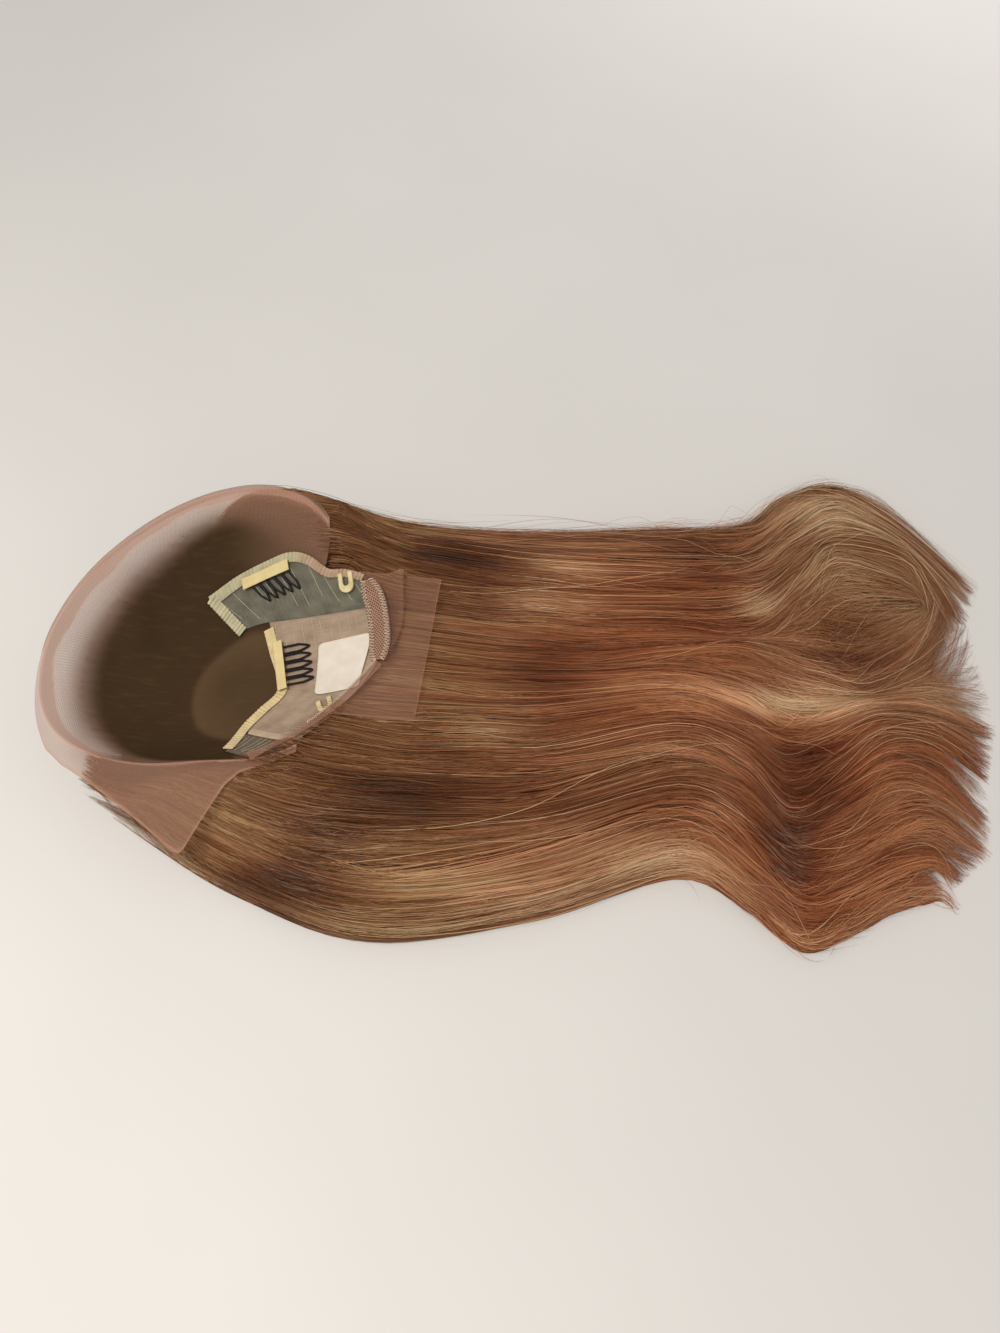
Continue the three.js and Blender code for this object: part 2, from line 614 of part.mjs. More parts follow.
addPiece(wig, "hair", hairSolid(), COLOURS.hair);
addPiece(cap, "lace_cap", laceCap(), COLOURS.lace);
addPiece(cap, "nape_lace", napeLaceSheet(-LACE_THICK / 2, LACE_THICK / 2), COLOURS.lace);
for (const [name, panel] of Object.entries(panels)) addPiece(cap, name, backPanel(panel), COLOURS.weft);
addPiece(cap, "seam_tape_far", strip(FAR_TAPE, TAPE_WIDTH, TAPE_LOW, TAPE_THICK), COLOURS.tape);
addPiece(cap, "seam_tape_near", strip(NEAR_TAPE, TAPE_WIDTH, TAPE_LOW, TAPE_THICK), COLOURS.tape);
addPiece(cap, "seam_strip", strip(SEAM_STRIP, SEAM_STRIP_WIDTH, TAPE_LOW, TAPE_THICK), COLOURS.tape);
addPiece(cap, "nape_band", strip(napeBandLine(), BAND_WIDTH, BAND_LOW, BAND_THICK), COLOURS.band);
addPiece(cap, "label", labelSheet(), COLOURS.label);
for (const [side, comb] of Object.entries(COMBS)) {
  addPiece(cap, `comb_${side}`, wireComb(comb), COLOURS.comb);
  addPiece(cap, `comb_tape_${side}`, combTape(comb), COLOURS.combTape);
}
for (const [side, hook] of Object.entries(HOOKS))
  placeHook(addPiece(cap, `strap_hook_${side}`, strapHook(), COLOURS.hook), hook);

export default wig;
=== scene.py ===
"""A lace front wig that lies on its own hair with the cap open upwards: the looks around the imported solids.

Tables are in millimetres and degrees, and each mesh is made in metres. +X runs from the forehead past
the nape to the hair tips, +Y from the near side of the cap to the far side, and +Z up.
"""

import math

import bpy
import numpy as np
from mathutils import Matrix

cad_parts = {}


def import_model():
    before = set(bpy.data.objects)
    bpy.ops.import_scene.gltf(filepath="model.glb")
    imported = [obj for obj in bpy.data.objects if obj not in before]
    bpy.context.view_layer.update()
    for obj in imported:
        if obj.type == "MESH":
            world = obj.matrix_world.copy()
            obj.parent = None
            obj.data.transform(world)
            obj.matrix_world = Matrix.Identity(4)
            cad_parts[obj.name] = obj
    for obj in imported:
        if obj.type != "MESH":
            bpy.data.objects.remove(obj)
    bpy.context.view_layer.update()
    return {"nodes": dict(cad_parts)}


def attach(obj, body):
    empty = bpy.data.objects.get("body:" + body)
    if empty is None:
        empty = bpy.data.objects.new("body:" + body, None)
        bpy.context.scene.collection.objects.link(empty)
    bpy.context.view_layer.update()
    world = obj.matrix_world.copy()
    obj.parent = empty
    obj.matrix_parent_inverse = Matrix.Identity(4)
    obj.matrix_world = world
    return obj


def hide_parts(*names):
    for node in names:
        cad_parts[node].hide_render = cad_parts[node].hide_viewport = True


MM = 0.001

# The cap's folded edge every 30 degrees from the nape round by the far side: its distance from the middle,
# its height, the power by which the wall rises to it, how far the spare lace turns out and drops, the width
# of the double hem, how far inside the edge the hair's knots begin and over what length they grow dense;
# the dark knots also paint the shade inside the bowl
CAP_ROWS = np.array(
    [
        [102, 58, 1.15, 3, 2, 1, 4, 10],
        [92, 64, 1.2, 4, 4, 1, 2, 12],
        [95, 83, 1.4, 12, 18, 3, 3, 26],
        [84, 84, 1.8, 15, 24, 3.5, 1, 15],
        [79, 76, 2.2, 14, 24, 4, 1, 18],
        [84, 66, 2.6, 12, 22, 4.5, 2, 22],
        [94, 58, 3, 9, 20, 6, 4, 24],
        [102, 55, 3, 8, 19, 6.5, 5, 25],
        [95, 62, 3, 20, 26, 3, 2, 16],
        [87, 68, 2.6, 38, 40, 1, 0, 4],
        [91, 63, 2, 9, 9, 1, 0, 4],
        [89, 52, 1.4, 3, 2, 1, 2, 8],
    ]
)
REACH, TOP, RISE, OUT, DROP, HEM, BARE, FADE = range(8)
CROWN_HEIGHT = 20
FOLD_TOP = 0.25
# Soft folds standing up in the lace: middle, half lengths, lift
LACE_FOLDS = [(6, -22, 30, 36, 7), (24, 72, 40, 17, 4), (-52, 24, 16, 34, 3)]
# Where the lace is cut away, from its far end at the nape round to the straight edges of the near flap
LACE_TRIM = [(57, 82), (64, 72), (64, 60), (62, 50), (58, 42), (60, 10), (50, -40), (55, -67)]
LACE_TRIM += [(54, -77), (40, -86), (26, -92), (18, -98), (-9, -127), (-78, -77), (-97, -58)]
PANELS = {
    "back_panel_far": {
        "seam": [(-8, 40), (8, 48), (27, 53), (40, 55), (51, 52), (62, 45), (73, 42), (84, 39)],
        "edge": [(11, 22.5), (27, 24), (60, 22), (93.5, 20)],
    },
    "back_panel_mid": {
        "seam": [(27, 24), (31, 7), (40, -22), (28, -37), (21, -52)],
        "edge": [(93.5, 20), (98, -4), (93, -20), (78, -41), (56, -67)],
    },
    "back_panel_near": {
        "seam": [(19.5, -53.5), (16, -63), (14, -73)],
        "edge": [(53, -70), (43, -77), (29, -83)],
    },
}
# Tapes by their middle lines in plan: the far one turns a corner and is sewn on in two runs
FAR_TAPE = [(85, 38), (74, 42.4), (63, 44.5), (51, 52.5), (40, 55.5), (27, 53.5), (8, 48), (-10, 39)]
FAR_TAPE_ARM = [(-10, 41), (1, 31), (11, 21)]
NEAR_TAPE = [(27, 20), (31, 7), (39, -21), (28, -37), (20, -50), (15, -72)]
SEAM_STRIP = [(24, -53.5), (38, -61.5), (52, -69)]
SEAM_STRIP_WIDTH = 5
TAPE_WIDTH, TAPE_END_WIDTH, TAPE_PITCH = 6, 3.8, 2.3
TAPE_STEP, TAPE_COLUMNS, TAPE_LAYER = 0.3, 13, 0.25
# A strip's gathers: how much wider and higher it is on a ridge, and how high its middle is over its edges
STRIP_WIDER, STRIP_RIDGE, STRIP_ROUND = 0.06, 0.2, 0.18
GATHER_DRIFT, GATHER_SWELL = 0.12, 5.3
BAND_WIDTH, BAND_END_WIDTH, BAND_TAPER = 12.5, 8, 0.22
BAND_LINE = [(88, 36.5), (94, 20), (97, 0), (96.8, -16.5)]
# The rolled edge of the lace goes on from the band along the near panels, and hair comes over it
ROLL_LINE = [(97, -18), (86, -31), (74, -44), (60, -59), (44, -74), (30, -86)]
ROLL_WIDTH, ROLL_LIFT = 6, 3.2
# Hair also comes up outside the far tape
FAR_FRINGE_LINE = [(92, 38), (80, 46), (70, 52), (66, 62), (64, 74), (58, 88)]
LABEL_MIDDLE = (72.8, -14)
LABEL_WIDTH, LABEL_LENGTH, LABEL_ROUND = 26.5, 36, 3
# How far its far end leans, and its folded hem: height, width and slope
LABEL_SKEW, LABEL_HEM, LABEL_HEM_WIDTH, LABEL_HEM_SLOPE = 5, 0.28, 6.3, 0.8
COMBS = {
    "far": {"middle": (25.6, 49.2), "spine": (23, 4.6), "tooth": (11.5, -12.2)},
    "mid": {"middle": (37.2, -7), "spine": (5, -28), "tooth": (18.5, 0.6)},
}
COMB_WIDTH, COMB_TEETH, TOOTH_LENGTH = 28, 5, 20
TOOTH_WIRE, SPINE_WIRE, SPINE_OVERHANG, WIRE_SIDES = 1.3, 1.5, 1, 8
# Each tooth is a loop: how far its legs stand in, in wires, and where along it they bend in and meet
TOOTH_INSET, TOOTH_BEND, TOOTH_NECK = 0.42, 0.66, 0.95
COMB_TAPE_LENGTH, COMB_TAPE_WIDTH = 35, 5.6
# How far the layers inside the cap stand off its middle surface
PANEL_LIFT = 0.7
TAPE_LIFT = 1.75
STRIP_LIFT = 1.6
LABEL_LIFT = 1.9
SPINE_LIFT, TIP_LIFT = 3.35, 1.95
COMB_TAPE_LIFT = 4.7
BAND_LIFT, BAND_STITCH_INSET = 2.9, 1.7
# Sewn lines: pitch of a zigzag, its swing and its lift over the cloth, and half the thickness of a thread
BAND_STITCH, ROLL_STITCH = (1.9, 2.6, 0.8), (1.2, 1.6, 0.5)
# The roll is sewn along its first places, this far inside its edge
ROLL_PLACES, ROLL_SEWN_PLACES, ROLL_SEAM = 90, 52, 1
STITCH_THREAD, WEFT_THREAD, THREAD_SIDES, WEFT_LIFT = 0.46, 0.15, 4, 0.45
# Places along the lines that the pieces follow
PANEL_PLACES, WEFT_PLACES, TAPE_PLACES, BAND_PLACES, TOOTH_PLACES, SPINE_PLACES = 201, 24, 80, 120, 61, 24
BAND_COLUMNS = 25
CLOTH_THICK, LABEL_THICK = 0.5, 0.35
NAPE_LACE_LIFT = 1.8
# The lace that turns out over the nape and lies on the hair
NAPE_LACE_FROM, NAPE_LACE_TO, NAPE_LACE_SEAM = 27, -35, 0.4
NAPE_LACE_FAR, NAPE_LACE_NEAR = (130, 44, 52), (117, -51, 48)
# Its standing fold runs from the far edge down to the near end of the band: place and size by u
NAPE_FOLD_FAR, NAPE_FOLD_NEAR, NAPE_FOLD_SPREAD = 0.46, 0.06, 0.08
NAPE_FOLD_LIFT, NAPE_FOLD_LEAN = 6, 4

# The hair: stations along it by x and height of the mass
STATION_X = [-72, 10, 90, 180, 265, 305, 330, 355, 388, 422, 452]
STATION_HEIGHT = [26, 46, 51, 38, 31, 28, 25, 23, 20, 13, 4]
# Guides from the near side to the far side: y at each station
GUIDE_Y = np.array(
    [
        [-66, -114, -143, -132, -106, -128, -149, -141, -127, -121, -134],
        [-58, -101, -120, -112, -87, -105, -128, -124, -106, -100, -115],
        [-46, -84, -95, -90, -66, -82, -106, -99, -76, -71, -95],
        [-34, -56, -69, -66, -46, -60, -83, -73, -51, -48, -72],
        [-20, -30, -42, -42, -27, -38, -54, -49, -34, -32, -46],
        [-6, -5, -16, -18, -9, -16, -26, -26, -19, -13, -17],
        [8, 20, 10, 6, 12, 15, 11, -1, -6, 26, 82],
        [22, 45, 36, 30, 30, 24, 31, 56, 79, 68, 22],
        [34, 66, 60, 53, 54, 55, 61, 82, 101, 90, 38],
        [44, 84, 80, 75, 76, 79, 86, 107, 121, 101, 59],
        [52, 94, 96, 94, 98, 100, 106, 128, 138, 116, 72],
    ],
    float,
)
# How far each guide starts before the front station, its x shift at the last three stations and its share
# of the mass's height
GUIDE_LEAD = np.array([12, 10, 10, 11, 12, 12, 10, 6, 0, -10, -26])
GUIDE_CREST = np.array([-6, 0, 0, 0, 0, 0, -5, -8, -4, -2, 0])
GUIDE_LATE = np.array([-14, -8, -5, -2, 0, 3, 4, 6, 6, 5, 4])
GUIDE_PAST = np.array([-34, -13, -8, -5, 1, 7, 0, -25, -4, 9, 14])
GUIDE_TALL = np.array([0.5, 0.86, 1.1, 0.98, 1.04, 0.98, 1.04, 0.9, 1.06, 0.98, 0.7])
EDGE_HALF = {"near": 19, "far": 18}
GUIDE_SPACING = 25
GROOVE = 0.1


def between(a, b, c, d, t):
    """Catmull-Rom value between b and c."""
    return b + 0.5 * t * (c - a + t * (2 * a - 5 * b + 4 * c - d + t * (3 * (b - c) + d - a)))


def smooth(t):
    t = np.clip(t, 0, 1)
    return t * t * (3 - 2 * t)


def ease(value, start, stop):
    """0 up to start and 1 from stop on, whichever of them is the greater."""
    return smooth((value - start) / (stop - start))


def unit(v):
    return v / np.maximum(np.linalg.norm(v, axis=-1, keepdims=True), 1e-9)


def curve(points, count):
    """A smooth line through the points, with count places along it, evenly spaced."""
    p = np.array(points, float)
    last = len(p) - 1
    place = np.linspace(0, last, 40 * last + 1)
    k = np.minimum(place.astype(int), last - 1)
    at = [p[np.clip(k + step, 0, last)] for step in (-1, 0, 1, 2)]
    return evenly(between(*at, (place - k)[:, None]), count)


def evenly(line, count):
    """The same line with count places at equal steps."""
    steps = np.linalg.norm(np.diff(line, axis=0), axis=1)
    along = np.concatenate([[0], np.cumsum(steps)])
    at = np.linspace(0, along[-1], count)
    return np.stack([np.interp(at, along, line[:, k]) for k in range(line.shape[1])], axis=1)


def length_of(line):
    return float(np.linalg.norm(np.diff(line, axis=0), axis=1).sum())


def square(rows, columns):
    """Shares from 0 to 1 down the rows and along the columns of a grid."""
    return np.meshgrid(np.linspace(0, 1, rows), np.linspace(0, 1, columns), indexing="ij")


def away(x, y, mid_x, mid_y, half_x, half_y):
    """Distance from the middle of an oval, 1 on its outline."""
    return np.hypot((x - mid_x) / half_x, (y - mid_y) / half_y)


def side_of(line):
    """The sideways direction at each place of a plan line."""
    along = unit(np.gradient(line, axis=0))
    return np.stack([-along[:, 1], along[:, 0]], axis=-1)


def linear(red, green, blue):
    """A colour given in 0 to 255 as the shader's linear values."""
    c = np.array([red, green, blue]) / 255
    return np.where(c <= 0.04045, c / 12.92, ((c + 0.055) / 1.055) ** 2.4)


# The cap's form


def cap_value(column, angle):
    """A column of CAP_ROWS at a direction in radians."""
    count = len(CAP_ROWS)
    place = (np.degrees(angle) % 360) * count / 360
    row = np.floor(place).astype(int)
    at = [CAP_ROWS[(row + step) % count, column] for step in (-1, 0, 1, 2)]
    return between(*at, place - row)


def cap_height(x, y):
    """Height of the lace over a plan point: the cap's wall, then the spare lace outside its fold."""
    angle = np.arctan2(y, x)
    distance = np.hypot(x, y)
    reach = cap_value(REACH, angle)
    top = cap_value(TOP, angle)
    t = np.maximum(distance - reach, 0) / cap_value(OUT, angle)
    turned = top - cap_value(DROP, angle) * np.where(t <= FOLD_TOP, t * t, t - FOLD_TOP * (1 - FOLD_TOP))
    share = np.minimum(distance / reach, 1)
    wall = CROWN_HEIGHT + (top - CROWN_HEIGHT) * share ** cap_value(RISE, angle)
    for *oval, lift in LACE_FOLDS:
        wall = wall + lift * (1 - smooth(away(x, y, *oval)))
    return np.where(distance > reach, turned, wall)


def on_cap(plan, lift):
    """Points that stand off the cap's surface by a lift, square to it."""
    step = 0.5
    x, y = plan[..., 0], plan[..., 1]
    slope_x = (cap_height(x + step, y) - cap_height(x - step, y)) / (2 * step)
    slope_y = (cap_height(x, y + step) - cap_height(x, y - step)) / (2 * step)
    normal = unit(np.stack([-slope_x, -slope_y, np.ones_like(x)], axis=-1))
    foot = np.stack([x, y, cap_height(x, y)], axis=-1)
    return foot + normal * np.asarray(lift)[..., None]


def on_rim(plan, lift):
    """Points over the cap that go straight out past its edge and don't turn down with the lace."""
    angle = np.arctan2(plan[..., 1], plan[..., 0])
    share = np.minimum((cap_value(REACH, angle) - 0.6) / np.hypot(plan[..., 0], plan[..., 1]), 1)
    kept = plan * share[..., None]
    points = on_cap(kept, lift)
    points[..., :2] += plan - kept
    return points


def lace_end(angle):
    """Distance from the middle at which the lace ends, by direction."""
    end = cap_value(REACH, angle) + cap_value(OUT, angle)
    for (ax, ay), (bx, by) in zip(LACE_TRIM, LACE_TRIM[1:]):
        inside = (angle <= math.atan2(ay, ax)) & (angle >= math.atan2(by, bx))
        dx, dy = bx - ax, by - ay
        turn = np.cos(angle) * dy - np.sin(angle) * dx
        cut = (ax * dy - ay * dx) / np.where(np.abs(turn) < 1e-9, 1e-9, turn)
        end = np.where(inside, np.minimum(end, cut), end)
    return end


def nape_lace_points(u, v):
    """The lace over the nape: u runs along the cap's edge, v out to its straight cut."""
    angle = np.radians(NAPE_LACE_FROM + (NAPE_LACE_TO - NAPE_LACE_FROM) * u)
    seam = cap_value(REACH, angle) - NAPE_LACE_SEAM
    plan = np.stack([seam * np.cos(angle), seam * np.sin(angle)], axis=-1)
    inner = on_cap(plan, NAPE_LACE_LIFT)
    far, near = np.array(NAPE_LACE_FAR, float), np.array(NAPE_LACE_NEAR, float)
    outer = far + (near - far) * u[..., None]
    points = inner + (outer - inner) * v[..., None]
    place = NAPE_FOLD_FAR + (NAPE_FOLD_NEAR - NAPE_FOLD_FAR) * np.clip(u / 0.62, 0, 1)
    fold = smooth((0.66 - u) / 0.5) * np.exp(-(((v - place) / NAPE_FOLD_SPREAD) ** 2))
    points[..., 2] += NAPE_FOLD_LIFT * fold
    points[..., 0] += NAPE_FOLD_LEAN * fold
    return points


# What the hair stays under: the lace and the nape lace, with a slope away from their edges

LID_LOW, LID_HIGH, LID_STEP = np.array([-140, -180]), np.array([200, 160]), 1.0
LID_RISE = 0.8
# Between these directions the panels' edge bounds the cap, not the lace
PANEL_EDGE, PANEL_EDGE_FROM, PANEL_EDGE_TO = 86, math.radians(-75), math.radians(-32)
LID_SPREAD = 70
# The cells beside a cell: their place in the padded grid and their distance
BESIDE = [(0, 1, 1), (2, 1, 1), (1, 0, 1), (1, 2, 1), (0, 0, 1.4), (2, 2, 1.4), (0, 2, 1.4), (2, 0, 1.4)]
NO_LID = 500.0


def make_lid():
    xs = np.arange(LID_LOW[0], LID_HIGH[0] + LID_STEP, LID_STEP)
    ys = np.arange(LID_LOW[1], LID_HIGH[1] + LID_STEP, LID_STEP)
    x, y = np.meshgrid(xs, ys, indexing="ij")
    angle = np.arctan2(y, x)
    open_edge = (angle < PANEL_EDGE_TO) & (angle > PANEL_EDGE_FROM)
    edge = np.where(open_edge, PANEL_EDGE, cap_value(REACH, angle))
    lid = np.where(np.hypot(x, y) <= np.maximum(lace_end(angle), edge), cap_height(x, y), NO_LID)
    nape = nape_lace_points(*square(260, 200)).reshape(-1, 3)
    cell = ((nape[:, :2] - LID_LOW) / LID_STEP).round().astype(int)
    np.minimum.at(lid, (cell[:, 0], cell[:, 1]), nape[:, 2])
    for _ in range(LID_SPREAD):
        wide = np.pad(lid, 1, constant_values=NO_LID)
        for dx, dy, far in BESIDE:
            shifted = wide[dx : dx + lid.shape[0], dy : dy + lid.shape[1]]
            lid = np.minimum(lid, shifted + LID_RISE * far * LID_STEP)
    return lid


LID = make_lid()


def lid_at(x, y):
    """Height of the lid over plan points, between its grid's places."""
    px = np.clip((x - LID_LOW[0]) / LID_STEP, 0, LID.shape[0] - 1.001)
    py = np.clip((y - LID_LOW[1]) / LID_STEP, 0, LID.shape[1] - 1.001)
    i, j = px.astype(int), py.astype(int)
    fx, fy = px - i, py - j
    near = LID[i, j] * (1 - fy) + LID[i, j + 1] * fy
    far = LID[i + 1, j] * (1 - fy) + LID[i + 1, j + 1] * fy
    return near * (1 - fx) + far * fx


# The hair's form

GUIDES = len(GUIDE_Y)
STATIONS = len(STATION_X)
GUIDE_X = np.tile(np.array(STATION_X, float), (GUIDES, 1))
GUIDE_X[:, 0] -= GUIDE_LEAD
GUIDE_X[:, -3] += GUIDE_CREST
GUIDE_X[:, -2] += GUIDE_LATE
GUIDE_X[:, -1] += GUIDE_PAST
GUIDE_Z = np.outer(GUIDE_TALL, STATION_HEIGHT)
# The hair's edges by s, and the steep sides just inside them
NEAR_EDGE, FAR_EDGE = -0.5, GUIDES - 0.5
NEAR_WALL, FAR_WALL = -0.46, GUIDES - 0.54
FRONT_KEEPS, FRONT_SPAN = 0.3, 0.11
TIP_KEEPS, TIP_SPAN = 0.6, 0.14
# Gentle rises of the hair's surface: middle, half lengths, lift
SWELLS = [
    (20, 96, 100, 34, 40),
    (5, -88, 95, 30, 22),
    (189, 37, 34, 40, 4),
    (154, -62, 40, 34, 4),
    (362, -10, 30, 26, 5),
    (268, -112, 50, 30, 5),
    (385, -50, 34, 40, 7),
    (400, -100, 30, 30, 3),
    (375, 84, 40, 18, 6),
    (375, 128, 40, 20, 5),
    (432, 40, 14, 30, 5),
    (72, -62, 40, 26, 9),
    (76, 60, 38, 28, 14),
    (66, 78, 34, 22, 16),
    (225, 5, 30, 30, -4),
    (322, -100, 26, 50, -7),
    (310, 92, 26, 20, -6),
    (388, 34, 34, 24, -8),
]


def guide_value(values, s, t):
    """A table of guides by stations between its places."""
    place = np.clip(t, 0, 1) * (STATIONS - 1)
    k = np.minimum(place.astype(int), STATIONS - 2)
    i = np.clip(np.floor(s), 0, GUIDES - 2).astype(int)
    rows = []
    for step in (-1, 0, 1, 2):
        g = np.clip(i + step, 0, GUIDES - 1)
        at = [values[g, np.clip(k + far, 0, STATIONS - 1)] for far in (-1, 0, 1, 2)]
        rows.append(between(*at, place - k))
    return between(*rows, np.clip(s - i, 0, 1))


def hair_top(s, t):
    """Top of the hair: s counts guides from the near side, with half a guide of round edge at each side."""
    x = guide_value(GUIDE_X, s, t)
    y = guide_value(GUIDE_Y, s, t)
    z = guide_value(GUIDE_Z, s, t)
    front = FRONT_KEEPS + (1 - FRONT_KEEPS) * smooth(t / FRONT_SPAN)
    tip = TIP_KEEPS + (1 - TIP_KEEPS) * smooth((1 - t) / TIP_SPAN)
    near = np.clip(-2 * s, 0, 1)
    far = np.clip(2 * (s - GUIDES + 1), 0, 1)
    size = np.minimum(front, tip)
    y = y - EDGE_HALF["near"] * size * near + EDGE_HALF["far"] * size * far
    groove = GROOVE * (0.5 - 0.5 * np.cos(2 * np.pi * (s + 0.16 * np.sin(9 * t + 1.7 * s))))
    z = z * front * np.sqrt(np.maximum(1 - np.maximum(near, far) ** 2, 0)) * (1 - groove)
    rise = np.zeros_like(z)
    for *oval, lift in SWELLS:
        rise = rise + lift * (1 - smooth(away(x, y, *oval)))
    z = z + rise * smooth(z / 15)
    return x, y, z


# Making meshes


def new_mesh(name, points, faces, uv=None, tint=None, **shares):
    """A mesh from arrays: points in millimetres, faces all of one size, and values by point."""
    mesh = bpy.data.meshes.new(name)
    faces = np.asarray(faces, np.int32)
    mesh.vertices.add(len(points))
    mesh.vertices.foreach_set("co", (np.asarray(points) * MM).astype(np.float32).ravel())
    mesh.loops.add(faces.size)
    mesh.loops.foreach_set("vertex_index", faces.ravel())
    mesh.polygons.add(len(faces))
    mesh.polygons.foreach_set("loop_start", np.arange(len(faces), dtype=np.int32) * faces.shape[1])
    mesh.polygons.foreach_set("use_smooth", np.ones(len(faces), bool))
    if uv is not None:
        layer = mesh.uv_layers.new(name="UVMap")
        layer.data.foreach_set("uv", (np.asarray(uv)[faces.ravel()] * MM).astype(np.float32).ravel())
    if tint is not None:
        rgba = np.concatenate([tint, np.ones((len(tint), 1))], axis=1)
        colours = mesh.color_attributes.new("tint", "FLOAT_COLOR", "POINT")
        colours.data.foreach_set("color", rgba.astype(np.float32).ravel())
    for share, amounts in shares.items():
        values = mesh.attributes.new(share, "FLOAT", "POINT")
        values.data.foreach_set("value", np.asarray(amounts, np.float32).ravel())
    mesh.update()
    mesh.validate()
    return mesh


def grid_faces(rows, columns, start=0):
    """The quads of a grid of points stored row by row."""
    i, j = np.meshgrid(np.arange(rows - 1), np.arange(columns - 1), indexing="ij")
    a = (start + i * columns + j).ravel()
    return np.stack([a, a + columns, a + columns + 1, a + 1], axis=1)


def add_piece(mesh, slot, material, *nodes):
    """Puts a mesh in the scene under its own name, as a piece of the wig that stands for solids."""
    piece = bpy.data.objects.new(mesh.name, mesh)
    bpy.context.scene.collection.objects.link(piece)
    piece.data.materials.append(material)
    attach(piece, "root")
    if nodes:
        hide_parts(*nodes)
    return piece


def thicken(piece, thick):
    solid = piece.modifiers.new("thickness", "SOLIDIFY")
    solid.thickness = thick * MM
    solid.offset = 0


def cloth(name, slot, material, node, points, uv, thick):
    """A piece of cloth from a grid of points with its uv."""
    faces = grid_faces(*points.shape[:2])
    mesh = new_mesh(name, points.reshape(-1, 3), faces, uv.reshape(-1, 2))
    piece = add_piece(mesh, slot, material, node)
    thicken(piece, thick)
    return piece


def join_grids(grids):
    """Points, faces and uv of several grids, each (points by row and column, uv)."""
    points, faces, places = [], [], []
    count = 0
    for p, uv in grids:
        rows, columns = p.shape[:2]
        faces.append(grid_faces(rows, columns, count))
        points.append(p.reshape(-1, 3))
        places.append(uv.reshape(-1, 2))
        count += rows * columns
    return np.concatenate(points), np.concatenate(faces), np.concatenate(places)


def tubes(lines, radius, sides):
    """Points and faces of closed round tubes along lines of points, all of one radius."""
    points, faces = [], []
    count = 0
    turn = 2 * np.pi * np.arange(sides) / sides
    for line in lines:
        along = unit(np.gradient(line, axis=0))
        up = np.where(np.abs(along[:, 2:]) > 0.9, [[1.0, 0, 0]], [[0, 0, 1.0]])
        side = unit(np.cross(along, up))
        lift = np.cross(side, along)
        round_it = np.cos(turn)[:, None] * side[:, None] + np.sin(turn)[:, None] * lift[:, None]
        ring = line[:, None] + radius * round_it
        n = len(line)
        i, k = np.meshgrid(np.arange(n - 1), np.arange(sides), indexing="ij")
        a = (count + i * sides + k).ravel()
        b = (count + i * sides + (k + 1) % sides).ravel()
        faces.append(np.stack([a, b, b + sides, a + sides], axis=1))
        points.append(ring.reshape(-1, 3))
        points.append(np.stack([line[0], line[-1]]))
        first, last = count + n * sides, count + n * sides + 1
        k = np.arange(0, sides, 2)
        for middle, base in ((first, count), (last, count + (n - 1) * sides)):
            one, two, three = base + k, base + (k + 1) % sides, base + (k + 2) % sides
            cap = np.stack([np.full_like(k, middle), one, two, three], axis=1)
            faces.append(cap if middle == last else cap[:, ::-1])
        count += n * sides + 2
    return np.concatenate(points), np.concatenate(faces)


# Materials


